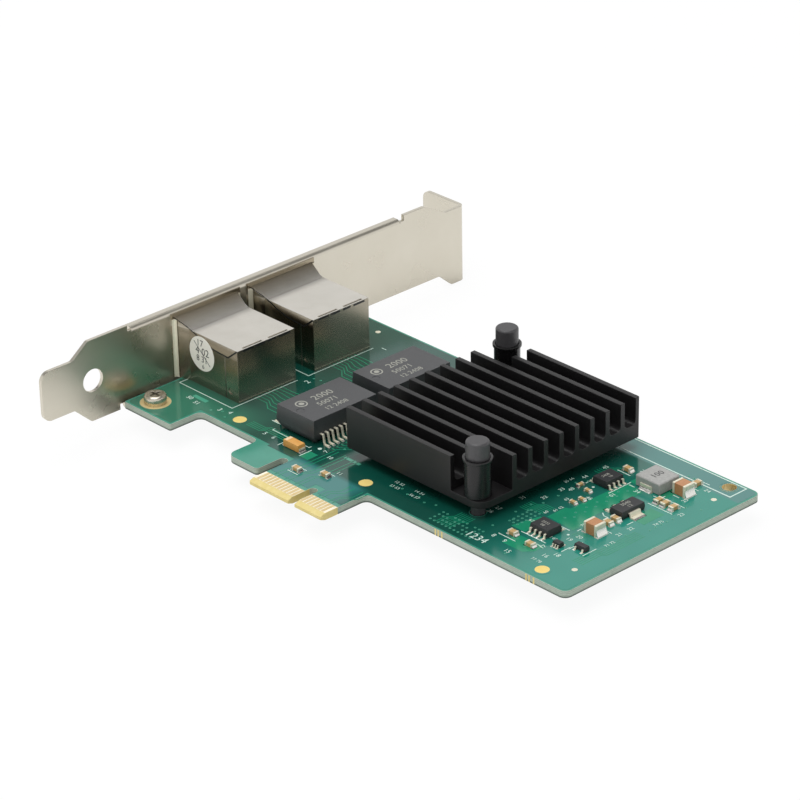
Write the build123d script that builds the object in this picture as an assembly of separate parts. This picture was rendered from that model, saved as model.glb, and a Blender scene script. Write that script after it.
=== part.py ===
from build123d import *
import math
import os

# A two-port network card, lying with its component face up. Sizes are in millimetres.
# X runs along the card away from its bracket, Y runs up from the leading edge of the edge
# connector, and Z stands on the component face. Lengths along X are laid out from a zero at
# the bracket end of the board; each piece moves to the key notch when it is written.

# Board outline
board_start_x = 0.1
board_length = 120.05
board_thickness = 1.57
board_corner = 1.7
bracket_end_corner = 0.5
near_part_end_x = 14.94
near_part_low_y = 4.04
main_low_y = 12.3
inner_corner = 1.4
hook_start_x = 33.0
hook_end_x = 42.1
hook_low_y = 3.9
hook_corner = 2.0
hook_slot_corner = 0.8
hook_slot_top_y = 11.0
tongue_corner = 0.4

# Edge connector
key_x = 56.77
key_width = 1.9
key_top_y = 6.75
fixed_section = 11.65
variable_section = 7.65
bevel_height = 1.3
bevel_depth = 0.45
contact_pitch = 1.0
contacts_before_key = 11
contacts_after_key = 7
contact_gap_at_key = 3.0
contact_width = 0.7
contact_low_y = 1.35
contact_high_y = 4.55
copper = 0.05

# Plated pads and holes on the board
screw_x = 5.0
lower_screw_y = 8.5
screw_beside_jack = 5.15
screw_to_top_edge = 5.15
screw_hole_radius = 1.6
ring_pad_radius = 3.3
ring_pad_hole_radius = 1.7
round_pads = [(23.5, 15.6), (61.9, 15.3), (110.9, 15.5)]
round_pad_radius = 1.7
test_points = [(13.5, 63.7), (115.25, 58.9), (115.3, 19.8)]
test_point_radius = 0.6
tooling_hole = (114.0, 64.8)
tooling_hole_radius = 1.5
tooling_plating = 0.1
tooling_land_radius = 1.9

# Bracket sheet
bracket_sheet = 0.86
bracket_inner_x = -1.2
bracket_length = 120.02
bracket_foot_y = -15.85
plate_low_z = -board_thickness - bracket_sheet
plate_width = 18.42
foot_step = 3.95
foot_width = 11.25
foot_corner = 2.2
slope_corner = 1.0
foot_taper_start_y = -7.8
foot_taper_end_y = -3.5
foot_hole_y = -2.64
foot_hole_radius = 2.55
flange_depth = 12.7
flange_drop = 3.17
flange_width = 18.25
flange_corner = 1.9
flange_outer_bend = 1.5
lower_slope_start_to_end = 7.97
lower_slope_end_to_end = 4.27
upper_slope_start_to_end = 12.37
upper_slope_end_to_end = 6.17
shoulder_to_end = 2.17
notch_radius = 2.25
notch_centre_from_plate = 6.1
notch_centre_height = 3.6
lip_start_y = 8.11
lip_end_to_end = 19.76
lip_reach = 2.2
lip_bend = 1.0
lip_drop = 0.82
relief_width = 1.1
relief_depth = 1.3
mount_tab_width = 6.6
mount_tab_end_x = 9.4
mount_tab_corner = 2.0
mount_tab_inner_bend = 0.4
mount_tab_root_overlap = 0.2

# Bracket screws
screw_head_radius = 2.4
screw_head_top_z = 2.0
screw_head_rounding = 0.7
screw_shank_radius = 1.45
screw_end_below_tab = 1.0
recess_length = 2.6
recess_width = 0.6
recess_depth = 0.8
thread_clearance = 0.03

# Jacks
first_jack_y = 20.2
jack_gap = 5.33
jack_width = 15.76
jack_rear_x = 18.0
jack_top_z = 12.0
ramp_foot_x = 3.6
ramp_top_z = 14.0
ramp_spread = 0.9
spread_foot_x = 2.6
shield_sheet = 0.3
flare_width = 1.6
flare_top_z = 14.7
shield_clearance = 0.05
shield_leg_x = 4.6
shield_leg_width = 1.5
shield_leg_overlap = 0.1
leg_hole_clearance = 0.15
tail_length = 1.05
seam_width = 0.25
seam_depth = 0.15
seam_line = [
    (-0.85, 13.6),
    (3.9, 11.75),
    (4.9, 11.55),
    (5.9, 11.0),
    (9.95, 9.9),
    (15.0, 9.6),
    (17.6, 11.8),
]
rear_fold_x = 14.0
rear_fold_low_z = 0.2
rear_fold_top_z = 9.6
dimple_x = 15.5
dimple_z = 2.1
dimple_radius = 0.7
rear_slots = [(1.9, 7.2), (9.0, 14.3)]
rear_slot_width = 0.55
rear_slot_depth = 1.5
port_width = 11.9
port_low_z = 3.1
port_high_z = 10.0
port_depth = 12.6
latch_width = 6.4
latch_low_z = 1.5
window_margin_y = 0.7
window_low_z = 0.9
window_high_z = 12.7
post_x = 8.9
post_spacing = 11.43
post_radius = 1.6
post_hole_radius = 1.65
post_tip_z = -2.9
wire_count = 8
wire_pitch = 1.02
wire_width = 0.5
wire_thickness = 0.3
wire_low_z = 10.45
wire_front_x = 2.3
wire_bend_run = 1.1
wire_tip_x = 9.0
wire_tip_z = 8.6
wire_tip_lean = 0.1
wire_row_xs = [13.3, 15.8]
wire_hole_radius = 0.45
comb_start_x = 2.0
comb_end_x = 9.6
comb_margin = 0.6

# Inspection sticker on the first jack
sticker_x = 6.6
sticker_z = 7.6
sticker_radius = 3.9
sticker_thickness = 0.06

# How deep the formed leads of all packages are held in their bodies
lead_root = 0.3

# Line transformer modules
module_centres = [(37.25, 27.45), (37.4, 48.25)]
module_length_x = 11.5
module_length_y = 17.7
module_top_z = 5.5
module_parting_z = 1.9
module_low_z = 0.3
module_upper_taper = 3
module_lower_taper = 28
module_foot_radius = 0.6
module_foot_inset = 1.6
module_foot_overlap = 0.1
module_mark_radius = 0.85
module_mark_depth = 0.1
module_leads = 12
module_pitch = 1.27
module_lead_width = 0.46
module_lead_thickness = 0.25
module_shoulder_z = 2.32
module_shoulder_reach = 0.85
module_foot_reach = 2.5
module_lead_slope = 0.4

# Controller package under the heatsink
controller_x = 70.85
controller_y = 42.5
substrate_size = 25.0
ball_height = 0.45
ball_radius = 0.32
ball_rows = 10
ball_pitch = 2.3
substrate_top_z = 1.2
mould_size = 19.0
mould_top_z = 2.15
mould_taper = 10
thermal_pad_size = 18.0

# Heatsink
heatsink_start_x = 51.3
heatsink_end_x = 89.8
heatsink_near_y = 19.92
fin_count = 11
fin_pitch = 4.35
fin_thickness = 1.2
fin_top_z = 11.55
groove_floor_z = 5.7
groove_rounding = 1.1
heatsink_low_z = 2.4
corner_top_z = 4.0
near_corner_start_x = 81.4
far_corner_end_x = 58.9
corner_fins = 2
base_rounding = 3.0
edge_rounding = 0.4

# Spring pins that hold the heatsink
pin_positions = [(86.2, 22.7), (54.6, 62.1)]
pin_shank_radius = 1.45
pin_hole_radius = 1.6
pin_cap_radius = 2.4
pin_cap_low_z = 10.8
pin_cap_top_z = 15.9
pin_cap_rounding = 0.5
barb_radius = 1.95
barb_tip_radius = 0.9
barb_tip_z = -4.6
barb_slit = 0.7
sleeve_radius = 2.75
sleeve_bore_radius = 2.5
sleeve_collar_radius = 3.05
sleeve_collar_height = 0.7
sleeve_top_z = 12.3
sleeve_floor = 0.8
spring_wire_radius = 0.25
spring_radius = 2.05
spring_turns = 5

# Small packages: a body has its underside, parting line, top and taper, and a lead its
# shoulder height, shoulder reach, slope and foot reach, then its thickness and width

# Eight-lead packages: centre, turn in degrees
eight_lead_places = [(95.7, 49.4, 0), (100.9, 26.6, 90)]
eight_lead_plan = (3.9, 4.9)
eight_lead_body = (0.15, 0.85, 1.7, 7)
eight_lead_count = 4
eight_lead_pitch = 1.27
eight_lead_form = (0.95, 0.4, 0.12, 1.05, 0.2, 0.42)
eight_lead_mark_inset = 0.8
eight_lead_mark_radius = 0.4
eight_lead_mark_depth = 0.08

# Regulator with a wide tab
regulator_centre = (106.7, 43.3)
regulator_plan = (3.5, 6.5)
regulator_body = (0.1, 0.85, 1.7, 8)
regulator_pitch = 2.3
regulator_lead_form = (0.98, 0.5, 0.2, 1.75, 0.25, 0.7)
regulator_tab_form = (0.98, 0.4, 0.2, 1.5, 0.25, 3.0)

# Six-lead logic package
logic_centre = (106.6, 24.2)
logic_plan = (1.25, 2.0)
logic_body = (0.08, 0.5, 1.0, 8)
logic_pitch = 0.65
logic_lead_form = (0.58, 0.2, 0.08, 0.5, 0.14, 0.25)

# Transistor
transistor_centre = (110.8, 26.4)
transistor_plan = (1.4, 2.9)
transistor_body = (0.08, 0.5, 1.1, 8)
transistor_pair_pitch = 1.9
transistor_lead_form = (0.6, 0.2, 0.08, 0.55, 0.14, 0.42)

# Power inductor
inductor_x = (100.2, 106.7)
inductor_y = (52.2, 58.6)
inductor_top_z = 2.5
inductor_corner = 0.35
inductor_chamfer = 0.2
inductor_terminal_x = (101.7, 104.8)
inductor_terminal_height = 1.3
inductor_terminal_foot = 1.8
terminal_sheet = 0.2

# Amber moulded capacitor
moulded_x = (38.3, 43.1)
moulded_y = (14.2, 16.3)
moulded_top_z = 1.6
moulded_parting_z = 0.8
moulded_taper = 6
moulded_terminal_width = 1.6
moulded_terminal_height = 0.85
moulded_terminal_foot = 0.9
moulded_sheet = 0.12

# Chip capacitors: centre and turn in degrees
large_chip_size = (3.4, 2.8, 2.5)
large_chip_end = 0.6
large_chip_places = [(109.2, 56.6, 0), (107.95, 32.9, 0)]
small_chip_size = (2.0, 1.25, 0.9)
small_chip_end = 0.42
small_chip_places = [
    (48.3, 9.2, 0),
    (54.1, 11.6, 0),
    (108.3, 50.5, 90),
    (110.1, 50.5, 90),
    (112.3, 50.5, 90),
    (107.5, 37.1, 0),
    (107.5, 39.2, 0),
    (95.1, 55.8, 0),
    (97.3, 21.3, 0),
    (102.9, 20.4, 0),
    (108.8, 61.0, 90),
]
tiny_chip_size = (1.6, 0.8, 0.6)
tiny_chip_end = 0.32
tiny_chip_places = [(96.8, 38.4, 0), (97.2, 40.5, 0), (95.5, 43.9, 0), (92.7, 44.6, 90)]
chip_end_proud = 0.04
chip_rounding_share = 0.25

# Places that follow from the sizes above
board_end_x = board_start_x + board_length
hook_shelf_y = hook_low_y + hook_corner
finger_start_x = key_x - key_width / 2 - fixed_section
finger_end_x = key_x + key_width / 2 + variable_section
bracket_outer_x = bracket_inner_x - bracket_sheet
second_jack_y = first_jack_y + jack_width + jack_gap
jack_low_y_values = [first_jack_y, second_jack_y]
upper_screw_y = second_jack_y + jack_width + screw_beside_jack
screw_positions = [(screw_x, lower_screw_y), (screw_x, upper_screw_y)]
board_top_y = upper_screw_y + screw_to_top_edge
bracket_end_y = bracket_foot_y + bracket_length
shoulder_y = bracket_end_y - shoulder_to_end
lip_end_y = bracket_end_y - lip_end_to_end
plate_top_z = plate_low_z + plate_width
lip_top_z = plate_top_z - lip_drop
foot_low_z = plate_low_z + foot_step
flange_low_z = plate_low_z - flange_drop
flange_top_z = flange_low_z + flange_width
flange_tip_x = bracket_inner_x - flange_depth
tail_tip_z = -board_thickness - tail_length
reach_past = 1.0


def block(x_low, x_high, y_low, y_high, z_low, z_high):
    """A box between three pairs of limits."""
    corner = (Align.MIN, Align.MIN, Align.MIN)
    solid = Box(x_high - x_low, y_high - y_low, z_high - z_low, align=corner)
    return Pos(x_low, y_low, z_low) * solid


def drum(x, y, z_low, z_high, radius):
    """An upright cylinder."""
    seat = (Align.CENTER, Align.CENTER, Align.MIN)
    return Pos(x, y, z_low) * Cylinder(radius, z_high - z_low, align=seat)


def rounded_outline(corners):
    """A flat outline from corners of (first, second, radius)."""
    outline = Polygon(*[(first, second) for first, second, radius in corners], align=None)
    for first, second, radius in corners:
        if radius > 0:
            vertex = outline.vertices().sort_by_distance((first, second, 0))[0]
            outline = fillet(vertex, radius)
    return outline


def upright(outline, z_low, z_high):
    """An outline in X and Y, raised between two heights."""
    return Pos(0, 0, z_low) * extrude(outline, amount=z_high - z_low, dir=(0, 0, 1))


def along_x(outline, x_low, x_high):
    """An outline in Y and Z, drawn out between two places on X."""
    return Pos(x_low, 0, 0) * extrude(Plane.YZ * outline, amount=x_high - x_low, dir=(1, 0, 0))


def along_y(outline, y_low, y_high):
    """An outline in X and Z, drawn out between two places on Y."""
    return Pos(0, y_low, 0) * extrude(Plane.XZ * outline, amount=y_high - y_low, dir=(0, 1, 0))


def save(shapes, node):
    """Write one node, moved so that the key notch is at the origin."""
    solids = []
    for shape in shapes:
        solids.extend(shape.solids())
    placed = Pos(-key_x, 0, 0) * Compound(solids)
    export_step(placed, f"parts/{node}.step")


def closed_slot(x_low, x_high, y_top):
    """The cutter for a slot that is open at the leading edge and round at its end."""
    radius = (x_high - x_low) / 2
    straight = block(x_low, x_high, -reach_past, y_top - radius, -board_thickness - reach_past, reach_past)
    end = drum(x_low + radius, y_top - radius, -board_thickness - reach_past, reach_past, radius)
    return straight + end


def board_hole(x, y, radius):
    """The cutter for a round hole through the board."""
    return drum(x, y, -board_thickness - reach_past, reach_past, radius)


def bevel(face_z, direction):
    """The cutter for the slope at the leading edge, on one face of the board."""
    wedge = rounded_outline([
        (-reach_past, face_z + direction * reach_past, 0),
        (-reach_past, face_z - direction * bevel_depth * (1 + reach_past / bevel_height), 0),
        (bevel_height, face_z, 0),
        (bevel_height, face_z + direction * reach_past, 0),
    ])
    return along_x(wedge, finger_start_x - reach_past, finger_end_x + reach_past)


def wire_places():
    """The Y offset from the jack's middle and the tail's X of each contact wire."""
    places = []
    for index in range(wire_count):
        offset = (index - (wire_count - 1) / 2) * wire_pitch
        places.append((offset, wire_row_xs[index % len(wire_row_xs)]))
    return places


def jack_board_cuts(low_y):
    """The holes a jack needs in the board."""
    middle = low_y + jack_width / 2
    cuts = []
    for side in (-1, 1):
        cuts.append(board_hole(post_x, middle + side * post_spacing / 2, post_hole_radius))
        sheet_middle = middle + side * (jack_width - shield_sheet) / 2
        half_x = shield_leg_width / 2 + leg_hole_clearance
        half_y = shield_sheet / 2 + leg_hole_clearance
        cuts.append(block(
            shield_leg_x - half_x, shield_leg_x + half_x,
            sheet_middle - half_y, sheet_middle + half_y,
            -board_thickness - reach_past, reach_past,
        ))
    for offset, tail_x in wire_places():
        cuts.append(board_hole(tail_x, middle + offset, wire_hole_radius))
    return cuts


def make_board():
    """Glass-fibre board with its connector tongue, hook and holes."""
    outline = rounded_outline([
        (board_start_x, near_part_low_y, bracket_end_corner),
        (near_part_end_x, near_part_low_y, bracket_end_corner),
        (near_part_end_x, main_low_y, inner_corner),
        (hook_start_x, main_low_y, inner_corner),
        (hook_start_x, hook_low_y, hook_corner),
        (hook_end_x, hook_low_y, hook_slot_corner),
        (hook_end_x, hook_shelf_y, 0),
        (finger_start_x, hook_shelf_y, 0),
        (finger_start_x, 0, tongue_corner),
        (finger_end_x, 0, tongue_corner),
        (finger_end_x, main_low_y, inner_corner),
        (board_end_x, main_low_y, board_corner),
        (board_end_x, board_top_y, board_corner),
        (board_start_x, board_top_y, bracket_end_corner),
    ])
    board = upright(outline, -board_thickness, 0)
    board = board - closed_slot(hook_end_x, finger_start_x, hook_slot_top_y)
    board = board - closed_slot(key_x - key_width / 2, key_x + key_width / 2, key_top_y)
    board = board - bevel(0, 1) - bevel(-board_thickness, -1)
    cuts = [board_hole(x, y, screw_hole_radius) for x, y in screw_positions]
    cuts.extend(board_hole(x, y, pin_hole_radius) for x, y in pin_positions)
    cuts.append(board_hole(*tooling_hole, tooling_hole_radius + tooling_plating))
    for low_y in jack_low_y_values:
        cuts.extend(jack_board_cuts(low_y))
    return board - cuts


def make_edge_contacts():
    """Gold-plated contacts on both faces of the tongue."""
    first_x = key_x - contact_gap_at_key / 2 - (contacts_before_key - 1) * contact_pitch
    xs = [first_x + index * contact_pitch for index in range(contacts_before_key)]
    second_x = key_x + contact_gap_at_key / 2
    xs.extend(second_x + index * contact_pitch for index in range(contacts_after_key))
    half = contact_width / 2
    contacts = []
    for x in xs:
        for low_z in (0, -board_thickness - copper):
            contacts.append(block(x - half, x + half, contact_low_y, contact_high_y, low_z, low_z + copper))
    return contacts


def make_ring_pads():
    """Bare rings under the two bracket screws."""
    rings = []
    for x, y in screw_positions:
        rings.append(drum(x, y, 0, copper, ring_pad_radius) - drum(x, y, 0, copper, ring_pad_hole_radius))
    return rings


def make_round_pads():
    """Alignment discs and test points."""
    pads = [drum(x, y, 0, copper, round_pad_radius) for x, y in round_pads]
    pads.extend(drum(x, y, 0, copper, test_point_radius) for x, y in test_points)
    return pads


def make_tooling_barrel():
    """Plated lining of the hole at the far top corner, with a land on each face."""
    x, y = tooling_hole
    lining = drum(x, y, -board_thickness, 0, tooling_hole_radius + tooling_plating)
    lands = drum(x, y, 0, copper, tooling_land_radius)
    lands = lands + drum(x, y, -board_thickness - copper, -board_thickness, tooling_land_radius)
    return lining + lands - board_hole(x, y, tooling_hole_radius)


def bracket_plate():
    """The flat part of the bracket with its foot and its sloping shoulders."""
    foot_top_z = foot_low_z + foot_width
    outline = rounded_outline([
        (bracket_foot_y, foot_low_z, foot_corner),
        (foot_taper_start_y, foot_low_z, slope_corner),
        (foot_taper_end_y, plate_low_z, slope_corner),
        (bracket_end_y - lower_slope_start_to_end, plate_low_z, slope_corner),
        (bracket_end_y - lower_slope_end_to_end, flange_low_z, slope_corner),
        (shoulder_y, flange_low_z, 0),
        (shoulder_y, flange_top_z, 0),
        (bracket_end_y - upper_slope_end_to_end, flange_top_z, slope_corner),
        (bracket_end_y - upper_slope_start_to_end, plate_top_z, slope_corner),
        (foot_taper_end_y, plate_top_z, slope_corner),
        (foot_taper_start_y, foot_top_z, slope_corner),
        (bracket_foot_y, foot_top_z, foot_corner),
    ])
    plate = along_x(outline, bracket_outer_x, bracket_inner_x)
    middle_z = plate_low_z + plate_width / 2
    hole = Pos(foot_hole_y, middle_z) * Circle(foot_hole_radius)
    plate = plate - along_x(hole, bracket_outer_x - reach_past, bracket_inner_x + reach_past)
    return plate


def bracket_lip():
    """The top edge between the reliefs, folded outward."""
    low_z = lip_top_z - lip_bend
    profile = rounded_outline([
        (bracket_inner_x, low_z, 0),
        (bracket_inner_x, lip_top_z, lip_bend),
        (bracket_inner_x - lip_reach, lip_top_z, 0),
        (bracket_inner_x - lip_reach, lip_top_z - bracket_sheet, 0),
        (bracket_outer_x, lip_top_z - bracket_sheet, 0),
        (bracket_outer_x, low_z, 0),
    ])
    return along_y(profile, lip_start_y, lip_end_y)


def bracket_flange():
    """The end folded outward over the chassis, with its screw notch."""
    inner_bend = flange_outer_bend - bracket_sheet
    profile = rounded_outline([
        (bracket_outer_x, shoulder_y, 0),
        (bracket_inner_x, shoulder_y, 0),
        (bracket_inner_x, bracket_end_y, flange_outer_bend),
        (flange_tip_x, bracket_end_y, 0),
        (flange_tip_x, bracket_end_y - bracket_sheet, 0),
        (bracket_outer_x, bracket_end_y - bracket_sheet, inner_bend),
    ])
    flange = upright(profile, flange_low_z, flange_top_z)
    outline = rounded_outline([
        (flange_tip_x, flange_low_z, flange_corner),
        (bracket_inner_x, flange_low_z, 0),
        (bracket_inner_x, flange_top_z, 0),
        (flange_tip_x, flange_top_z, flange_corner),
    ])
    flange = flange & along_y(outline, shoulder_y - reach_past, bracket_end_y + reach_past)
    notch_x = bracket_outer_x - notch_centre_from_plate
    notch_z = flange_low_z + notch_centre_height
    throat = block(
        notch_x - notch_radius, notch_x + notch_radius,
        shoulder_y, bracket_end_y + reach_past,
        flange_low_z - reach_past, notch_z,
    )
    end = along_y(Pos(notch_x, notch_z) * Circle(notch_radius), shoulder_y, bracket_end_y + reach_past)
    return flange - throat - end


def bracket_tab(screw_x, screw_y):
    """One tab folded under the board, tapped for a screw."""
    root_top_z = plate_low_z + relief_depth
    profile_top_z = root_top_z + mount_tab_root_overlap
    profile = rounded_outline([
        (bracket_outer_x, plate_low_z, mount_tab_inner_bend + bracket_sheet),
        (mount_tab_end_x, plate_low_z, 0),
        (mount_tab_end_x, plate_low_z + bracket_sheet, 0),
        (bracket_inner_x, plate_low_z + bracket_sheet, mount_tab_inner_bend),
        (bracket_inner_x, profile_top_z, 0),
        (bracket_outer_x, profile_top_z, 0),
    ])
    low_y = screw_y - mount_tab_width / 2
    high_y = screw_y + mount_tab_width / 2
    tab = along_y(profile, low_y, high_y)
    plan = rounded_outline([
        (bracket_outer_x - reach_past, low_y, 0),
        (mount_tab_end_x, low_y, mount_tab_corner),
        (mount_tab_end_x, high_y, mount_tab_corner),
        (bracket_outer_x - reach_past, high_y, 0),
    ])
    tab = tab & upright(plan, plate_low_z - reach_past, root_top_z + reach_past)
    thread = drum(
        screw_x, screw_y, plate_low_z - reach_past, plate_low_z + bracket_sheet + reach_past,
        screw_shank_radius + thread_clearance,
    )
    return tab - thread


def make_bracket():
    """Nickel-plated sheet bracket, cut and folded from one blank."""
    bracket = bracket_plate()
    past_low_x = bracket_outer_x - reach_past
    past_high_x = bracket_inner_x + reach_past
    fold_z = lip_top_z - lip_bend
    bracket = bracket - block(
        past_low_x, past_high_x, lip_start_y, lip_end_y, fold_z, plate_top_z + reach_past,
    )
    for relief_y in (lip_start_y - relief_width, lip_end_y):
        bracket = bracket - block(
            past_low_x, past_high_x, relief_y, relief_y + relief_width,
            plate_top_z - relief_depth, plate_top_z + reach_past,
        )
    for screw_x, screw_y in screw_positions:
        half = mount_tab_width / 2 + relief_width
        bracket = bracket - block(
            past_low_x, past_high_x, screw_y - half, screw_y + half,
            plate_low_z - reach_past, plate_low_z + relief_depth,
        )
    for low_y in jack_low_y_values:
        bracket = bracket - block(
            past_low_x, past_high_x,
            low_y + window_margin_y, low_y + jack_width - window_margin_y,
            window_low_z, window_high_z,
        )
    bracket = bracket + bracket_lip() + bracket_flange()
    for screw_x, screw_y in screw_positions:
        bracket = bracket + bracket_tab(screw_x, screw_y)
    return bracket


def make_screw(x, y):
    """Pan-head screw through the board into the bracket's tab."""
    head = drum(x, y, copper, screw_head_top_z, screw_head_radius)
    head = fillet(head.edges().group_by(Axis.Z)[-1], screw_head_rounding)
    low_z = screw_head_top_z - recess_depth
    half_length = recess_length / 2
    half_width = recess_width / 2
    high_z = screw_head_top_z + reach_past
    head = head - block(x - half_length, x + half_length, y - half_width, y + half_width, low_z, high_z)
    head = head - block(x - half_width, x + half_width, y - half_length, y + half_length, low_z, high_z)
    shank = drum(x, y, plate_low_z - screw_end_below_tab, copper, screw_shank_radius)
    return head + shank


def jack_profile(inset, front_x):
    """The side view of a jack, drawn in by an inset at its top and rear."""
    return rounded_outline([
        (front_x, -reach_past, 0),
        (jack_rear_x - inset, -reach_past, 0),
        (jack_rear_x - inset, jack_top_z - inset, 0),
        (ramp_foot_x, jack_top_z - inset, 0),
        (bracket_inner_x, ramp_top_z - inset, 0),
        (front_x, ramp_top_z - inset, 0),
    ])


def jack_form(low_y, inset, front_x):
    """A jack's outer form, drawn in by an inset; it widens toward the bracket above and aside."""
    high_y = low_y + jack_width
    plan = rounded_outline([
        (front_x, low_y - ramp_spread + inset, 0),
        (bracket_inner_x, low_y - ramp_spread + inset, 0),
        (spread_foot_x, low_y + inset, 0),
        (jack_rear_x - inset, low_y + inset, 0),
        (jack_rear_x - inset, high_y - inset, 0),
        (spread_foot_x, high_y - inset, 0),
        (bracket_inner_x, high_y + ramp_spread - inset, 0),
        (front_x, high_y + ramp_spread - inset, 0),
    ])
    side_view = along_y(jack_profile(inset, front_x), low_y - flare_width, high_y + flare_width)
    return side_view & upright(plan, -reach_past, ramp_top_z)


def side_seams(low_y, points):
    """The cutters for a fine seam line on both sides of the shield."""
    high_y = low_y + jack_width
    core = jack_form(low_y, seam_depth, bracket_inner_x - reach_past)
    cuts = []
    for start, end in zip(points[:-1], points[1:]):
        length = math.dist(start, end)
        angle = math.degrees(math.atan2(end[1] - start[1], end[0] - start[0]))
        middle = ((start[0] + end[0]) / 2, (start[1] + end[1]) / 2)
        stroke = Pos(*middle) * Rot(0, 0, angle) * Rectangle(length + seam_width, seam_width)
        cuts.append(along_y(stroke, low_y - flare_width, high_y + flare_width) - core)
    return cuts


def rear_slot_cuts(low_y):
    """The cutters for the slots along the top rear edge."""
    end_x = jack_rear_x - shield_sheet
    low_z = jack_top_z - rear_slot_depth
    high_z = jack_top_z + reach_past
    return [
        block(end_x - rear_slot_width, end_x, low_y + start, low_y + end, low_z, high_z)
        for start, end in rear_slots
    ]


def make_jack_shield(low_y):
    """Tin-plated sheet shell, open below and in front, with a flare against the bracket."""
    high_y = low_y + jack_width
    above_board = block(
        bracket_inner_x, jack_rear_x,
        low_y - flare_width, high_y + flare_width, 0, flare_top_z,
    )
    flare = block(
        bracket_inner_x, bracket_inner_x + shield_sheet,
        low_y - flare_width, high_y + flare_width, 0, flare_top_z,
    )
    hollow = jack_form(low_y, shield_sheet, bracket_inner_x - reach_past)
    shield = (jack_form(low_y, 0, bracket_inner_x) & above_board) + flare - hollow
    fold_line = [(rear_fold_x, rear_fold_low_z), (rear_fold_x, rear_fold_top_z)]
    for points in (seam_line, fold_line):
        shield = shield - side_seams(low_y, points)
    dimple = Pos(dimple_x, dimple_z) * Circle(dimple_radius)
    shield = shield - along_y(dimple, low_y - reach_past, low_y + seam_depth)
    shield = shield - along_y(dimple, high_y - seam_depth, high_y + reach_past)
    shield = shield - rear_slot_cuts(low_y)
    half = shield_leg_width / 2
    for leg_y in (low_y, high_y - shield_sheet):
        shield = shield + block(
            shield_leg_x - half, shield_leg_x + half, leg_y, leg_y + shield_sheet,
            tail_tip_z, shield_leg_overlap,
        )
    return shield


def make_jack_wires(low_y):
    """Eight spring contacts with their tails through the board."""
    middle = low_y + jack_width / 2
    half = wire_thickness / 2
    high_z = wire_low_z + wire_thickness
    wires = []
    for offset, tail_x in wire_places():
        profile = rounded_outline([
            (tail_x + half, tail_tip_z, 0),
            (tail_x + half, high_z, 0),
            (wire_front_x, high_z, 0),
            (wire_front_x, wire_low_z - half, 0),
            (wire_tip_x, wire_tip_z, 0),
            (wire_tip_x + wire_tip_lean, wire_tip_z + wire_thickness, 0),
            (wire_front_x + wire_bend_run, wire_low_z, 0),
            (tail_x - half, wire_low_z, 0),
            (tail_x - half, tail_tip_z, 0),
        ])
        wire_y = middle + offset
        wires.append(along_y(profile, wire_y - wire_width / 2, wire_y + wire_width / 2))
    return wires


def make_jack_housing(low_y, wires):
    """Moulded housing with the plug's socket, the latch channel and two board posts."""
    high_y = low_y + jack_width
    middle = low_y + jack_width / 2
    inset = shield_sheet + shield_clearance
    housing = along_y(jack_profile(inset, bracket_inner_x), low_y + inset, high_y - inset)
    housing = housing & block(bracket_inner_x, jack_rear_x, low_y, high_y, 0, ramp_top_z)
    past_front_x = bracket_inner_x - reach_past
    back_x = bracket_inner_x + port_depth
    housing = housing - block(
        past_front_x, back_x, middle - port_width / 2, middle + port_width / 2, port_low_z, port_high_z,
    )
    housing = housing - block(
        past_front_x, back_x, middle - latch_width / 2, middle + latch_width / 2, latch_low_z, port_low_z,
    )
    comb_half = (wire_count - 1) / 2 * wire_pitch + comb_margin
    housing = housing - block(
        comb_start_x, comb_end_x, middle - comb_half, middle + comb_half, port_high_z, wire_low_z,
    )
    housing = housing - wires - rear_slot_cuts(low_y)
    for side in (-1, 1):
        post_y = middle + side * post_spacing / 2
        housing = housing + drum(post_x, post_y, post_tip_z, latch_low_z / 2, post_radius)
    return housing


def make_sticker():
    """Round paper sticker on the first jack's side."""
    side_y = jack_low_y_values[0]
    disc = Pos(sticker_x, sticker_z) * Circle(sticker_radius)
    return along_y(disc, side_y - sticker_thickness, side_y)


def moulded_body(size_x, size_y, low_z, parting_z, top_z, upper_taper, lower_taper):
    """A moulded package that narrows above and below its parting line."""
    outline = Rectangle(size_x, size_y)
    upper = extrude(outline, amount=top_z - parting_z, taper=upper_taper)
    lower = extrude(outline, amount=parting_z - low_z, taper=lower_taper)
    lower = mirror(lower, Plane.XY)
    return Pos(0, 0, parting_z) * (upper + lower)


def gull_lead(body_half, shoulder_z, shoulder_reach, slope, foot_reach, thickness, width):
    """One formed lead that leaves a body toward +X and stands on the board."""
    root_x = body_half - lead_root
    bend_x = body_half + shoulder_reach
    profile = rounded_outline([
        (root_x, shoulder_z, 0),
        (bend_x, shoulder_z, 0),
        (bend_x + slope, thickness, 0),
        (body_half + foot_reach, thickness, 0),
        (body_half + foot_reach, 0, 0),
        (bend_x + slope - thickness, 0, 0),
        (bend_x - thickness, shoulder_z - thickness, 0),
        (root_x, shoulder_z - thickness, 0),
    ])
    return along_y(profile, -width / 2, width / 2)


def lead_row(lead, count, pitch, turn):
    """Copies of one lead along a side, turned about the package."""
    row = []
    for index in range(count):
        offset = (index - (count - 1) / 2) * pitch
        row.append(Rot(0, 0, turn) * Pos(0, offset, 0) * lead)
    return row


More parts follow.
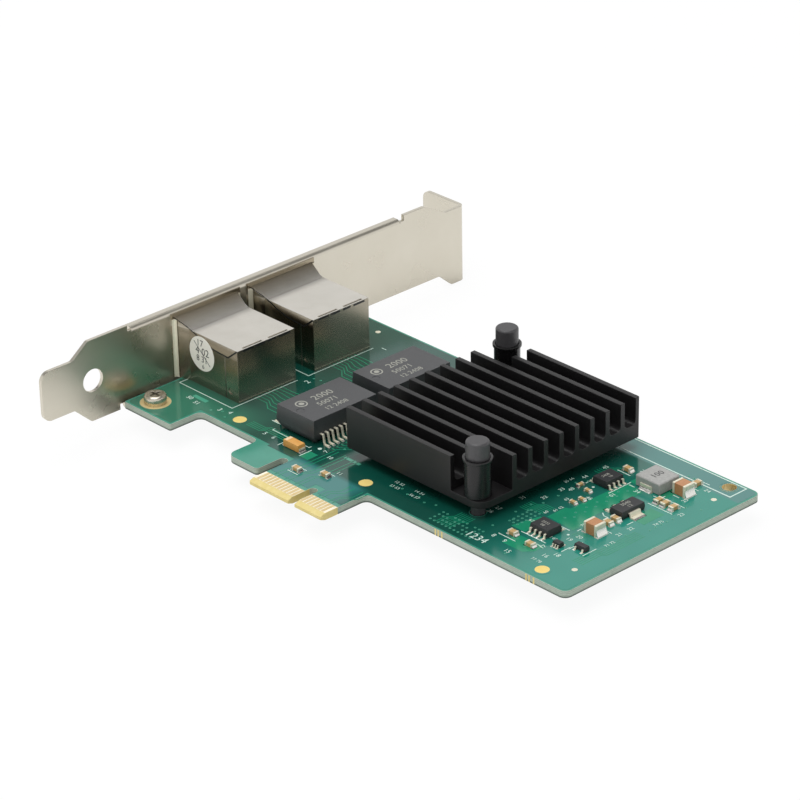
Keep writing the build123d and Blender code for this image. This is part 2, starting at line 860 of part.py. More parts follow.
def make_module(x, y):
    """Line transformer module: moulded body and twenty-four leads."""
    body = moulded_body(
        module_length_x, module_length_y, module_low_z, module_parting_z, module_top_z,
        module_upper_taper, module_lower_taper,
    )
    foot_x = module_length_x / 2 - module_foot_inset
    foot_y = module_length_y / 2 - module_foot_inset
    foot_top_z = module_low_z + module_foot_overlap
    for side_x in (-1, 1):
        for side_y in (-1, 1):
            body = body + drum(side_x * foot_x, side_y * foot_y, 0, foot_top_z, module_foot_radius)
    mark_low_z = module_top_z - module_mark_depth
    body = body - drum(0, -foot_y, mark_low_z, module_top_z + reach_past, module_mark_radius)
    lead = gull_lead(
        module_length_x / 2, module_shoulder_z, module_shoulder_reach, module_lead_slope,
        module_foot_reach, module_lead_thickness, module_lead_width,
    )
    leads = lead_row(lead, module_leads, module_pitch, 0)
    leads.extend(lead_row(lead, module_leads, module_pitch, 180))
    body = body - leads
    return Pos(x, y, 0) * body, [Pos(x, y, 0) * part for part in leads]


def small_body(plan, heights_and_taper):
    """The moulded body of a small package."""
    low_z, parting_z, top_z, taper = heights_and_taper
    return moulded_body(*plan, low_z, parting_z, top_z, taper, taper)


def make_eight_lead(x, y, turn):
    """A small package with four leads on each side."""
    size_x, size_y = eight_lead_plan
    top_z = eight_lead_body[2]
    body = small_body(eight_lead_plan, eight_lead_body)
    lead = gull_lead(size_x / 2, *eight_lead_form)
    leads = lead_row(lead, eight_lead_count, eight_lead_pitch, 0)
    leads.extend(lead_row(lead, eight_lead_count, eight_lead_pitch, 180))
    body = body - drum(
        -size_x / 2 + eight_lead_mark_inset, -size_y / 2 + eight_lead_mark_inset,
        top_z - eight_lead_mark_depth, top_z + reach_past, eight_lead_mark_radius,
    )
    body = body - leads
    place = Pos(x, y, 0) * Rot(0, 0, turn)
    return place * body, [place * part for part in leads]


def make_regulator():
    """Regulator: three leads toward the bracket and one wide tab."""
    half_x = regulator_plan[0] / 2
    body = small_body(regulator_plan, regulator_body)
    lead = gull_lead(half_x, *regulator_lead_form)
    tab = gull_lead(half_x, *regulator_tab_form)
    leads = lead_row(lead, 3, regulator_pitch, 180) + [tab]
    body = body - leads
    place = Pos(*regulator_centre, 0)
    return place * body, [place * part for part in leads]


def make_logic():
    """Tiny six-lead package."""
    body = small_body(logic_plan, logic_body)
    lead = gull_lead(logic_plan[0] / 2, *logic_lead_form)
    leads = lead_row(lead, 3, logic_pitch, 0) + lead_row(lead, 3, logic_pitch, 180)
    body = body - leads
    place = Pos(*logic_centre, 0) * Rot(0, 0, 90)
    return place * body, [place * part for part in leads]


def make_transistor():
    """Three-lead transistor."""
    body = small_body(transistor_plan, transistor_body)
    lead = gull_lead(transistor_plan[0] / 2, *transistor_lead_form)
    leads = lead_row(lead, 2, transistor_pair_pitch, 180) + lead_row(lead, 1, transistor_pair_pitch, 0)
    body = body - leads
    place = Pos(*transistor_centre, 0) * Rot(0, 0, 90)
    return place * body, [place * part for part in leads]


def make_inductor():
    """Power inductor: shielded core on two sheet terminals."""
    low_x, high_x = inductor_x
    low_y, high_y = inductor_y
    core = upright(rounded_outline([
        (low_x, low_y + terminal_sheet, inductor_corner),
        (high_x, low_y + terminal_sheet, inductor_corner),
        (high_x, high_y - terminal_sheet, inductor_corner),
        (low_x, high_y - terminal_sheet, inductor_corner),
    ]), terminal_sheet, inductor_top_z)
    core = chamfer(core.edges().group_by(Axis.Z)[-1], inductor_chamfer)
    start_x, end_x = inductor_terminal_x
    terminals = []
    for wall_y, foot_y in (
        (low_y, low_y),
        (high_y - terminal_sheet, high_y - inductor_terminal_foot),
    ):
        wall = block(start_x, end_x, wall_y, wall_y + terminal_sheet, 0, inductor_terminal_height)
        foot = block(start_x, end_x, foot_y, foot_y + inductor_terminal_foot, 0, terminal_sheet)
        terminals.append(wall + foot)
    return core, terminals


def make_moulded_capacitor():
    """Amber moulded capacitor on two folded terminals."""
    low_x, high_x = moulded_x
    low_y, high_y = moulded_y
    middle_x = (low_x + high_x) / 2
    middle_y = (low_y + high_y) / 2
    size_x = high_x - low_x - 2 * moulded_sheet
    body = Pos(middle_x, middle_y, 0) * moulded_body(
        size_x, high_y - low_y, moulded_sheet, moulded_parting_z, moulded_top_z, moulded_taper, 0,
    )
    half = moulded_terminal_width / 2
    terminals = []
    for wall_x, foot_x in (
        (low_x, low_x),
        (high_x - moulded_sheet, high_x - moulded_terminal_foot),
    ):
        wall = block(
            wall_x, wall_x + moulded_sheet, middle_y - half, middle_y + half, 0, moulded_terminal_height,
        )
        foot = block(
            foot_x, foot_x + moulded_terminal_foot, middle_y - half, middle_y + half, 0, moulded_sheet,
        )
        terminals.append(wall + foot)
    return body, terminals


def make_chips(places, size, end_length):
    """Ceramic chip capacitors: bodies, and the plated end on both sides of each."""
    length, width, height = size
    half = length / 2
    half_width = width / 2
    core_half = half - end_length
    inner_half = half_width - chip_end_proud
    body = block(-core_half, core_half, -inner_half, inner_half, chip_end_proud, height - chip_end_proud)
    end = block(core_half, half, -half_width, half_width, 0, height)
    end = fillet(end.edges().group_by(Axis.X)[-1], end_length * chip_rounding_share)
    bodies = []
    ends = []
    for x, y, turn in places:
        place = Pos(x, y, 0) * Rot(0, 0, turn)
        bodies.append(place * body)
        ends.append(place * end)
        ends.append(place * Rot(0, 0, 180) * end)
    return bodies, ends


def make_solder_balls():
    """Grid of solder balls between the controller and the board."""
    balls = []
    sphere = Pos(0, 0, ball_height / 2) * Sphere(ball_radius)
    ball = sphere & block(-ball_radius, ball_radius, -ball_radius, ball_radius, 0, ball_height)
    for row in range(ball_rows):
        for column in range(ball_rows):
            x = controller_x + (row - (ball_rows - 1) / 2) * ball_pitch
            y = controller_y + (column - (ball_rows - 1) / 2) * ball_pitch
            balls.append(Pos(x, y, 0) * ball)
    return balls


def make_substrate():
    """Laminate carrier of the controller."""
    half = substrate_size / 2
    return block(
        controller_x - half, controller_x + half, controller_y - half, controller_y + half,
        ball_height, substrate_top_z,
    )


def make_mould():
    """Moulded cover over the controller's die."""
    cap = extrude(Rectangle(mould_size, mould_size), amount=mould_top_z - substrate_top_z, taper=mould_taper)
    return Pos(controller_x, controller_y, substrate_top_z) * cap


def make_thermal_pad():
    """Soft pad between the controller and the heatsink."""
    half = thermal_pad_size / 2
    return block(
        controller_x - half, controller_x + half, controller_y - half, controller_y + half,
        mould_top_z, heatsink_low_z,
    )


def make_heatsink():
    """Extruded heatsink with two corners milled down for the pins."""
    far_y = heatsink_near_y + (fin_count - 1) * fin_pitch + fin_thickness
    plan = rounded_outline([
        (heatsink_start_x, heatsink_near_y, edge_rounding),
        (heatsink_end_x, heatsink_near_y, base_rounding),
        (heatsink_end_x, far_y, edge_rounding),
        (heatsink_start_x, far_y, base_rounding),
    ])
    heatsink = upright(plan, heatsink_low_z, fin_top_z)
    for index in range(fin_count - 1):
        gap_low_y = heatsink_near_y + index * fin_pitch + fin_thickness
        gap_high_y = gap_low_y + fin_pitch - fin_thickness
        gap = rounded_outline([
            (gap_low_y, groove_floor_z, groove_rounding),
            (gap_high_y, groove_floor_z, groove_rounding),
            (gap_high_y, fin_top_z + reach_past, 0),
            (gap_low_y, fin_top_z + reach_past, 0),
        ])
        heatsink = heatsink - along_x(gap, heatsink_start_x - reach_past, heatsink_end_x + reach_past)
    near_limit_y = heatsink_near_y + corner_fins * fin_pitch
    heatsink = heatsink - block(
        near_corner_start_x, heatsink_end_x + reach_past,
        heatsink_near_y - reach_past, near_limit_y,
        corner_top_z, fin_top_z + reach_past,
    )
    heatsink = heatsink - block(
        heatsink_start_x - reach_past, far_corner_end_x,
        far_y - corner_fins * fin_pitch, far_y + reach_past,
        corner_top_z, fin_top_z + reach_past,
    )
    for x, y in pin_positions:
        heatsink = heatsink - drum(x, y, heatsink_low_z - reach_past, corner_top_z + reach_past, pin_hole_radius)
    return heatsink


def make_pin(x, y):
    """Plastic pin with a round cap above and a split barb under the board."""
    cap = drum(0, 0, pin_cap_low_z, pin_cap_top_z, pin_cap_radius)
    cap = fillet(cap.edges().group_by(Axis.Z)[-1], pin_cap_rounding)
    shank = drum(0, 0, -board_thickness, pin_cap_low_z, pin_shank_radius)
    barb_height = -board_thickness - barb_tip_z
    seat = (Align.CENTER, Align.CENTER, Align.MIN)
    barb = Pos(0, 0, barb_tip_z) * Cone(barb_tip_radius, barb_radius, barb_height, align=seat)
    pin = cap + shank + barb
    half = barb_slit / 2
    reach = barb_radius + reach_past
    pin = pin - block(-reach, reach, -half, half, barb_tip_z - reach_past, 0)
    return Pos(x, y, 0) * pin


def make_sleeve(x, y):
    """Guide cup around a pin's spring, standing on the heatsink's corner."""
    cup = drum(x, y, corner_top_z, sleeve_top_z, sleeve_radius)
    cup = cup + drum(x, y, sleeve_top_z - sleeve_collar_height, sleeve_top_z, sleeve_collar_radius)
    cup = cup - drum(x, y, corner_top_z + sleeve_floor, sleeve_top_z + reach_past, sleeve_bore_radius)
    return cup - drum(x, y, corner_top_z - reach_past, sleeve_top_z, pin_hole_radius)


def make_spring(x, y):
    """Wire spring between the cup's floor and the pin's cap."""
    low_z = corner_top_z + sleeve_floor + spring_wire_radius
    high_z = pin_cap_low_z - spring_wire_radius
    rise = high_z - low_z
    path = Helix(pitch=rise / spring_turns, height=rise, radius=spring_radius)
    section = Plane(path @ 0, z_dir=path % 0) * Circle(spring_wire_radius)
    wire = sweep(section, path=path, is_frenet=True)
    return Pos(x, y, low_z) * wire


os.makedirs("parts", exist_ok=True)

save([make_board()], "printed_circuit_board")
save(make_edge_contacts(), "edge_contacts")
save(make_ring_pads(), "screw_ring_pads")
save(make_round_pads(), "alignment_pads")
save([make_tooling_barrel()], "plated_hole_lining")

save([make_bracket()], "io_bracket")
save([make_screw(x, y) for x, y in screw_positions], "bracket_screws")

for number, low_y in enumerate(jack_low_y_values, start=1):
    wires = make_jack_wires(low_y)
    save([make_jack_shield(low_y)], f"jack_shield_{number}")
    save([make_jack_housing(low_y, wires)], f"jack_housing_{number}")
    save(wires, f"jack_contacts_{number}")
save([make_sticker()], "inspection_sticker")

for number, centre in enumerate(module_centres, start=1):
    body, leads = make_module(*centre)
    save([body], f"magnetics_body_{number}")
    save(leads, f"magnetics_leads_{number}")

save(make_solder_balls(), "controller_solder_balls")
save([make_substrate()], "controller_substrate")
save([make_mould()], "controller_mould")
save([make_thermal_pad()], "thermal_pad")
save([make_heatsink()], "heatsink")
save([make_pin(x, y) for x, y in pin_positions], "push_pins")
save([make_sleeve(x, y) for x, y in pin_positions], "pin_sleeves")
save([make_spring(x, y) for x, y in pin_positions], "pin_springs")

for number, place in enumerate(eight_lead_places, start=1):
    body, leads = make_eight_lead(*place)
    save([body], f"memory_body_{number}")
    save(leads, f"memory_leads_{number}")

body, leads = make_regulator()
save([body], "regulator_body")
save(leads, "regulator_leads")
body, leads = make_logic()
save([body], "logic_body")
save(leads, "logic_leads")
body, leads = make_transistor()
save([body], "transistor_body")
save(leads, "transistor_leads")

core, terminals = make_inductor()
save([core], "inductor_core")
save(terminals, "inductor_terminals")
body, terminals = make_moulded_capacitor()
save([body], "moulded_capacitor_body")
save(terminals, "moulded_capacitor_terminals")

bodies, ends = make_chips(large_chip_places, large_chip_size, large_chip_end)
save(bodies, "large_capacitor_bodies")
save(ends, "large_capacitor_ends")
bodies, ends = make_chips(small_chip_places, small_chip_size, small_chip_end)
save(bodies, "small_capacitor_bodies")
save(ends, "small_capacitor_ends")
bodies, ends = make_chips(tiny_chip_places, tiny_chip_size, tiny_chip_end)
save(bodies, "chip_resistor_bodies")
save(ends, "chip_resistor_ends")
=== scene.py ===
import math

import bmesh
import bpy
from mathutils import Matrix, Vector


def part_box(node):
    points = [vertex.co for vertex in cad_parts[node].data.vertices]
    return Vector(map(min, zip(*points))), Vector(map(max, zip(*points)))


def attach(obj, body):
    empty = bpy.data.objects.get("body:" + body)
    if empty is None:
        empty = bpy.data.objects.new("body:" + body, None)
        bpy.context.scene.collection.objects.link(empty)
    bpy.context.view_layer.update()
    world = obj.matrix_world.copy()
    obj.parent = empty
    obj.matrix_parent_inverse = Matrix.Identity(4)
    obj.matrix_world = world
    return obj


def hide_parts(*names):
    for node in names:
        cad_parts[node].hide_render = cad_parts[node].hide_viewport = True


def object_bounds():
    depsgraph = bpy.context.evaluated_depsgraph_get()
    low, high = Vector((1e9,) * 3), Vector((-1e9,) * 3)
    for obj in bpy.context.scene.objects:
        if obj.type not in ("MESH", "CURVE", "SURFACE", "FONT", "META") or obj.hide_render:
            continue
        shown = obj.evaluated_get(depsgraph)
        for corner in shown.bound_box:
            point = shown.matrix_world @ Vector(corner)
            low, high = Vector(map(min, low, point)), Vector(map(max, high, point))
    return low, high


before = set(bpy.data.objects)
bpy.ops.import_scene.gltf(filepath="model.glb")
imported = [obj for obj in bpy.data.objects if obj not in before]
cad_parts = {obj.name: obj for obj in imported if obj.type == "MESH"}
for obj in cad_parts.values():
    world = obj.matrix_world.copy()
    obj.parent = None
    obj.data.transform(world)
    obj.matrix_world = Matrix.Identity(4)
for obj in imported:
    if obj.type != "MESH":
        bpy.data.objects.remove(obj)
solid_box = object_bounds()

# ---- Printed circuit board ------------------------------------------------------------------
# A multilayer board of woven glass and epoxy, routed to shape. Both faces carry green solder
# mask; the routed edges and the tongue beyond the contacts show the bare, pale laminate.

KEY_NOTCH_X = 56.77
TONGUE_MASK_Y = 4.6
TONGUE_START_X = 43.0
TONGUE_END_X = 66.0
TONGUE_TOP_Y = 5.6


def spot(x, y, z):
    """A place given in millimetres from the bracket end, the leading edge and the component face."""
    return Vector(((x - KEY_NOTCH_X) / 1000, y / 1000, z / 1000))


def linear(code):
    """A hex sRGB colour as the linear values that a shader takes."""
    shares = [int(code[i:i + 2], 16) / 255 for i in (1, 3, 5)]
    return [s / 12.92 if s <= 0.04045 else ((s + 0.055) / 1.055) ** 2.4 for s in shares] + [1.0]


def add_node(tree, kind, settings=None, links=None):
    """Adds a node, sets its properties or sockets, and links sockets that feed it."""
    node = tree.nodes.new(kind)
    for key, value in (settings or {}).items():
        if isinstance(key, str) and hasattr(node, key):
            setattr(node, key, value)
        else:
            node.inputs[key].default_value = value
    for key, source in (links or {}).items():
        tree.links.new(source, node.inputs[key])
    return node


def start_material(name, settings):
    """A new material: its tree, its shader with these socket values, and its object coordinates."""
    material = bpy.data.materials.new(name)
    material.use_nodes = True
    tree = material.node_tree
    shader = tree.nodes["Principled BSDF"]
    for key, value in settings.items():
        shader.inputs[key].default_value = value
    place = add_node(tree, "ShaderNodeTexCoord")
    return material, tree, shader, place.outputs["Object"]


def mottle_colour(tree, shader, place, size_mm, detail, low, high):
    """A base colour that wanders between two hex colours; gives back the noise behind it."""
    noise = add_node(
        tree, "ShaderNodeTexNoise", {"Scale": 1000 / size_mm, "Detail": detail}, {"Vector": place},
    )
    tone = add_node(
        tree, "ShaderNodeMix", {"data_type": "RGBA", 6: linear(low), 7: linear(high)}, {0: noise.outputs[0]},
    )
    tree.links.new(tone.outputs[2], shader.inputs["Base Color"])
    return noise


def mottled_material(name, settings, size_mm, detail, low, high):
    """A material whose colour wanders between two hex colours, and that is even otherwise."""
    material, tree, shader, place = start_material(name, settings)
    mottle_colour(tree, shader, place, size_mm, detail, low, high)
    return material


def emboss(tree, shader, noise, strength, distance):
    """Fine relief from a noise."""
    relief = add_node(
        tree, "ShaderNodeBump", {"Strength": strength, "Distance": distance}, {"Height": noise.outputs[0]},
    )
    tree.links.new(relief.outputs[0], shader.inputs["Normal"])


def vary_roughness(tree, shader, noise, low, high):
    """Roughness that follows a noise."""
    dull = add_node(tree, "ShaderNodeMapRange", {"To Min": low, "To Max": high}, {"Value": noise.outputs[0]})
    tree.links.new(dull.outputs[0], shader.inputs["Roughness"])


def pick(piece):
    """Makes a piece the only selected one, and the active one."""
    bpy.ops.object.select_all(action="DESELECT")
    piece.select_set(True)
    bpy.context.view_layer.objects.active = piece


def apply_modifier(piece, kind, settings):
    """Adds a modifier to a piece and applies it."""
    modifier = piece.modifiers.new("step", kind)
    for key, value in settings.items():
        setattr(modifier, key, value)
    bpy.ops.object.modifier_apply(modifier=modifier.name)


def finished_copy(node, name, edge_mm=0.0, segments=1, smooth_deg=35):
    """A clean copy of a CAD node, with its edges broken by edge_mm, that takes the node's place."""
    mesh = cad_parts[node].data.copy()
    mesh.materials.clear()
    piece = bpy.data.objects.new(name, mesh)
    bpy.context.collection.objects.link(piece)
    pick(piece)
    if mesh.has_custom_normals:
        bpy.ops.mesh.customdata_custom_splitnormals_clear()
    bpy.ops.object.mode_set(mode="EDIT")
    bpy.ops.mesh.select_all(action="SELECT")
    bpy.ops.mesh.remove_doubles(threshold=0.000001)
    bpy.ops.mesh.dissolve_limited(angle_limit=math.radians(0.5))
    bpy.ops.object.mode_set(mode="OBJECT")
    if edge_mm:
        apply_modifier(piece, "BEVEL", {
            "width": edge_mm / 1000, "segments": segments, "limit_method": "ANGLE",
            "angle_limit": math.radians(40), "use_clamp_overlap": False,
        })
    bpy.ops.object.shade_smooth_by_angle(angle=math.radians(smooth_deg))
    apply_modifier(piece, "WEIGHTED_NORMAL", {"keep_sharp": True})
    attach(piece, "root")
    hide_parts(node)
    return piece


board = finished_copy("printed_circuit_board", "laminate_board", 0.05)

# Solder mask is a glossy epoxy film, so it mirrors the room at a low angle.
mask_film = {"Roughness": 0.14, "IOR": 1.52}
mask_over_laminate, tree, shader, place = start_material("solder_mask_over_laminate", mask_film)
mottle_colour(tree, shader, place, 6, 3.0, "#2A7E6A", "#3F9580")
# Glass cloth under the mask, drawn at a 0.6 mm pitch so that it shows.
ripple = add_node(tree, "ShaderNodeTexNoise", {"Scale": 1000 / 0.6, "Detail": 1.0}, {"Vector": place})
emboss(tree, shader, ripple, 0.12, 0.00002)

# Routed glass-epoxy: dull, fibrous, with the plies showing as fine level lines 0.2 mm apart.
bare_laminate, tree, shader, place = start_material("bare_glass_epoxy", {"Roughness": 0.75, "IOR": 1.5})
plies = add_node(
    tree, "ShaderNodeTexWave",
    {"bands_direction": "Z", "Scale": 1000 / 0.2 / 6.28, "Distortion": 1.2, "Detail": 2.0},
    {"Vector": place},
)
dust = add_node(tree, "ShaderNodeTexNoise", {"Scale": 1000 / 0.8, "Detail": 4.0}, {"Vector": place})
blend = add_node(
    tree, "ShaderNodeMath", {"operation": "MULTIPLY"}, {0: plies.outputs["Fac"], 1: dust.outputs[0]},
)
tone = add_node(
    tree, "ShaderNodeMix",
    {"data_type": "RGBA", 6: linear("#ADB9AB"), 7: linear("#7F8B80")}, {0: blend.outputs[0]},
)
# A dark line is painted along the bottom of the edge, 0.2 mm above the far face: a painted contact shadow.
height = add_node(tree, "ShaderNodeSeparateXYZ", {}, {0: place})
above = add_node(
    tree, "ShaderNodeMapRange", {"From Min": -0.0013, "From Max": -0.0011}, {"Value": height.outputs[2]},
)
edge_painted_shadow = add_node(
    tree, "ShaderNodeMix", {"data_type": "RGBA", 6: linear("#5C665E")},
    {0: above.outputs[0], 7: tone.outputs[2]},
)
tree.links.new(edge_painted_shadow.outputs[2], shader.inputs["Base Color"])
emboss(tree, shader, dust, 0.4, 0.00003)

# The tongue is ground to a slope and stained golden by its clear epoxy.
tongue_laminate = mottled_material(
    "ground_tongue_laminate", {"Roughness": 0.6, "IOR": 1.5}, 1.2, 4.0, "#CDB969", "#E6D698",
)

pick(board)
bpy.ops.object.mode_set(mode="EDIT")
bpy.ops.mesh.select_all(action="SELECT")
bpy.ops.mesh.bisect(plane_co=spot(0, TONGUE_MASK_Y, 0), plane_no=(0, 1, 0))
bpy.ops.object.mode_set(mode="OBJECT")
pale_laminate = mottled_material(
    "pale_tongue_face", {"Roughness": 0.6, "IOR": 1.5}, 1.2, 3.0, "#F1E6CC", "#FBF5E4",
)
for material in (mask_over_laminate, bare_laminate, tongue_laminate, pale_laminate):
    board.data.materials.append(material)
for face in board.data.polygons:
    level = abs(face.normal.z) > 0.97
    on_tongue = spot(TONGUE_START_X, 0, 0).x < face.center.x < spot(TONGUE_END_X, 0, 0).x
    if on_tongue and face.center.y < (TONGUE_MASK_Y if level else TONGUE_TOP_Y) / 1000:
        face.material_index = 3 if level else 2
    elif not level:
        face.material_index = 1

# ---- Copper under the mask -------------------------------------------------------------------
# Etched copper 0.03 mm thick, pulled back 0.5 mm from the board's edge. Planes, wider pours,
# traces and via rings lie under the same mask; the pours, traces and rings show as brighter
# greens, and the mask over the planes is painted dark as painted shade, with lighter painted reflections.

FIELD_Z = 0.03
TRACE_Z = 0.045
UNDERSIDE_Z = -1.57


def ring(x, y, radius, count=20):
    """A round outline."""
    steps = [2 * math.pi * i / count for i in range(count)]
    return [(x + radius * math.cos(a), y + radius * math.sin(a)) for a in steps]


def panel(x_low, x_high, y_low, y_high):
    """A rectangular outline."""
    return [(x_low, y_low), (x_high, y_low), (x_high, y_high), (x_low, y_high)]


def ribbon(points, width):
    """The outline of a line of an even width through points, mitred at its bends."""
    left, right = [], []
    for i, point in enumerate(points):
        here = Vector(point)
        before = Vector(points[i - 1]) if i else here * 2 - Vector(points[1])
        after = Vector(points[i + 1]) if i < len(points) - 1 else here * 2 - before
        first = (here - before).normalized()
        second = (after - here).normalized()
        across = Vector((-first.y, first.x))
        mitre = (across + Vector((-second.y, second.x))).normalized()
        reach = mitre * (width / 2 / mitre.dot(across))
        left.append(tuple(here + reach))
        right.append(tuple(here - reach))
    return left + right[::-1]


def bundle(points, count, step_x, step_y, width):
    """Parallel ribbons, each moved on from the last one by the same step."""
    return [ribbon([(x + i * step_x, y + i * step_y) for x, y in points], width) for i in range(count)]


def flat_piece(name, loops, z_low, z_high):
    """Thin raised shape from closed outlines; an outline inside another is a hole."""
    curve = bpy.data.curves.new(name, "CURVE")
    curve.dimensions = "2D"
    curve.fill_mode = "BOTH"
    curve.extrude = (z_high - z_low) / 2000
    for loop in loops:
        line = curve.splines.new("POLY")
        line.points.add(len(loop) - 1)
        for point, (x, y) in zip(line.points, loop):
            point.co = (*spot(x, y, 0).xy, 0, 1)
        line.use_cyclic_u = True
    piece = bpy.data.objects.new(name, curve)
    bpy.context.collection.objects.link(piece)
    pick(piece)
    bpy.ops.object.convert(target="MESH")
    piece = bpy.context.object
    piece.location.z = (z_low + z_high) / 2000
    bpy.ops.object.transform_apply(location=True, rotation=False, scale=False)
    bpy.ops.object.mode_set(mode="EDIT")
    bpy.ops.mesh.select_all(action="SELECT")
    bpy.ops.mesh.remove_doubles(threshold=0.0000005)
    bpy.ops.mesh.normals_make_consistent(inside=False)
    bpy.ops.object.mode_set(mode="OBJECT")
    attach(piece, "root")
    return piece


def stand_up(piece, face_y):
    """Turns a flat piece that was drawn in X and Z up against a face that looks along -Y."""
    for vertex in piece.data.vertices:
        x, z, depth = vertex.co
        vertex.co = (x, face_y - depth, z)


# Stubs are left on the near edge where the board was broken from its panel.
near_edge = min(vertex.co.y for vertex in board.data.vertices if vertex.co.x > spot(80, 0, 0).x)
stub_loops = [panel(x, x + 0.4, -1.5, -0.08) for x in (84.8, 85.6, 86.6, 109.6, 110.4, 111.6)]
stubs = flat_piece("break_off_stubs", stub_loops, 0, 0.03)
stand_up(stubs, near_edge)
stubs.data.materials.append(tongue_laminate)

field_outline = [
    (1.3, 4.6), (14.4, 4.6), (14.4, 12.8), (36.0, 12.8), (36.0, 12.1), (44.3, 12.1), (44.3, 5.7),
    (55.35, 5.7), (55.35, 7.9), (58.2, 7.9), (58.2, 5.7), (65.1, 5.7), (65.1, 12.8), (118.9, 12.8),
    (119.6, 13.5), (119.6, 66.2), (118.9, 66.9), (1.3, 66.9), (0.6, 66.2), (0.6, 5.3),
]
PAD_PLACES = ((23.5, 15.6), (61.9, 15.3), (110.9, 15.5))
PIN_PLACES = ((86.2, 22.7), (54.6, 62.1))
PAD_OPENING = 1.9
pad_openings = [ring(x, y, PAD_OPENING) for x, y in PAD_PLACES + PIN_PLACES]
pad_openings.append(ring(114.0, 64.8, 2.0))
screw_openings = [ring(5.0, 8.5, 3.45, 32), ring(5.0, 62.2, 3.45, 32)]
plane = flat_piece(
    "copper_planes_under_mask", [field_outline] + pad_openings + screw_openings, 0, FIELD_Z,
)

# Painted shade: the mask over the planes is painted dark green for the heatsink's shadow across the board;
# the zones further down paint lighter reflections.
mask_over_plane_painted_light, tree, shader, place = start_material("solder_mask_over_plane_painted_shade_and_reflection", mask_film)
drift = add_node(tree, "ShaderNodeTexNoise", {"Scale": 1000 / 14, "Detail": 2.0}, {"Vector": place})
tone = add_node(
    tree, "ShaderNodeMix",
    {"data_type": "RGBA", 6: linear("#083D33"), 7: linear("#135347")}, {0: drift.outputs[0]},
)


def painted_light_zone(before, colours, limits):
    """A lighter patch of painted reflection, out of the heatsink's painted shade, from a start to a full
    strength along an axis (0, 1), in millimetres.
    """
    share = None
    for axis, start, full in limits:
        offset = -KEY_NOTCH_X if axis == 0 else 0
        ramp = add_node(
            tree, "ShaderNodeMapRange",
            {"From Min": (start + offset) / 1000, "From Max": (full + offset) / 1000},
            {0: across.outputs[axis]},
        )
        if share:
            ramp = add_node(tree, "ShaderNodeMath", {"operation": "MULTIPLY"}, {0: share, 1: ramp.outputs[0]})
        share = ramp.outputs[0]
    local = add_node(
        tree, "ShaderNodeMix",
        {"data_type": "RGBA", 6: linear(colours[0]), 7: linear(colours[1])}, {0: drift.outputs[0]},
    )
    blend = add_node(tree, "ShaderNodeMix", {"data_type": "RGBA"}, {0: share, 6: before, 7: local.outputs[2]})
    return blend.outputs[2]


# The board is painted lighter, as painted reflection and as less painted shade: beyond the heatsink,
# along the top edge, above the tongue, and between the bracket's screw and the modules.
across = add_node(tree, "ShaderNodeSeparateXYZ", {}, {0: place})
painted_light_tint = painted_light_zone(tone.outputs[2], ("#1B7C6E", "#2F8C7B"), [(0, 90, 110)])
painted_light_tint = painted_light_zone(painted_light_tint, ("#3F7672", "#4C837D"), [(1, 60.8, 61.4), (0, 58, 60)])
painted_light_tint = painted_light_zone(painted_light_tint, ("#2A706C", "#347C78"), [(1, 14.0, 12.6), (0, 43, 45), (0, 66, 62)])
painted_light_tint = painted_light_zone(painted_light_tint, ("#246853", "#31765F"), [(0, 30, 22), (1, 22, 16)])
tree.links.new(painted_light_tint, shader.inputs["Base Color"])
ripple = add_node(tree, "ShaderNodeTexNoise", {"Scale": 1000 / 0.6, "Detail": 1.0}, {"Vector": place})
emboss(tree, shader, ripple, 0.12, 0.00002)
plane.data.materials.append(mask_over_plane_painted_light)

pour_outlines = [
    [
        (97, 31), (104.5, 30.5), (104.5, 35.5), (103.2, 38), (103.5, 51), (99, 52.2), (98.2, 46), (98, 36.5),
        (97, 36),
    ],
    [(98.0, 17.6), (103.4, 17.6), (105.0, 19.6), (105.0, 22.0), (98.0, 22.0)],
    [(94.5, 23.5), (98.2, 23.5), (98.2, 30), (96, 30)],
    panel(44.0, 46.5, 13.6, 16.5),
    panel(98.5, 108.5, 52.6, 60.5),
    panel(109.0, 112.6, 41.8, 47.6),
]
pours = flat_piece("copper_pours_under_mask", pour_outlines, FIELD_Z, TRACE_Z)
mask_over_pour = mottled_material("solder_mask_over_copper_pour", mask_film, 5, 3.0, "#187A5C", "#22926C")
pours.data.materials.append(mask_over_pour)

light_patches = flat_piece(
    "copper_lands_under_mask",
    [panel(51.0, 55.5, 19.3, 20.1), panel(104.6, 108.8, 59.6, 60.4), panel(8.4, 12.6, 15.6, 16.6)],
    FIELD_Z, TRACE_Z,
)
mask_over_land = mottled_material("solder_mask_over_thick_land", mask_film, 4, 3.0, "#3F9A7F", "#57AA90")
light_patches.data.materials.append(mask_over_land)

# Traces are drawn 0.2 mm wide, a little over the real 0.15 mm, so that they show.
TRACE_WIDTH = 0.2
traces = []
for jack_y, module_y in ((28.08, 27.45), (49.17, 48.25)):
    for i in range(8):
        start_y = jack_y + (i - 3.5) * 1.02
        end_y = module_y + (i - 3.5) * 1.27
        bend_x = 20.0 + abs(i - 3.5) * 0.5
        points = [(17.0, start_y), (bend_x, start_y), (bend_x + 2.0, end_y), (28.6, end_y)]
        traces.append(ribbon(points, TRACE_WIDTH))
    for i in range(12):
        start_y = module_y + (i - 5.5) * 1.27
        end_y = module_y + (i - 5.5) * 0.75
        points = [(46.2, start_y), (47.2, start_y), (49.8, end_y), (54.0, end_y)]
        traces.append(ribbon(points, TRACE_WIDTH))
for i, x in enumerate((46.27, 47.27, 49.27, 50.27, 52.27, 53.27)):
    points = [(x, 5.0), (x, 8.2 + i * 0.3), (x + 1.2, 9.8 + i * 0.3), (x + 1.2, 20.4)]
    traces.append(ribbon(points, TRACE_WIDTH))
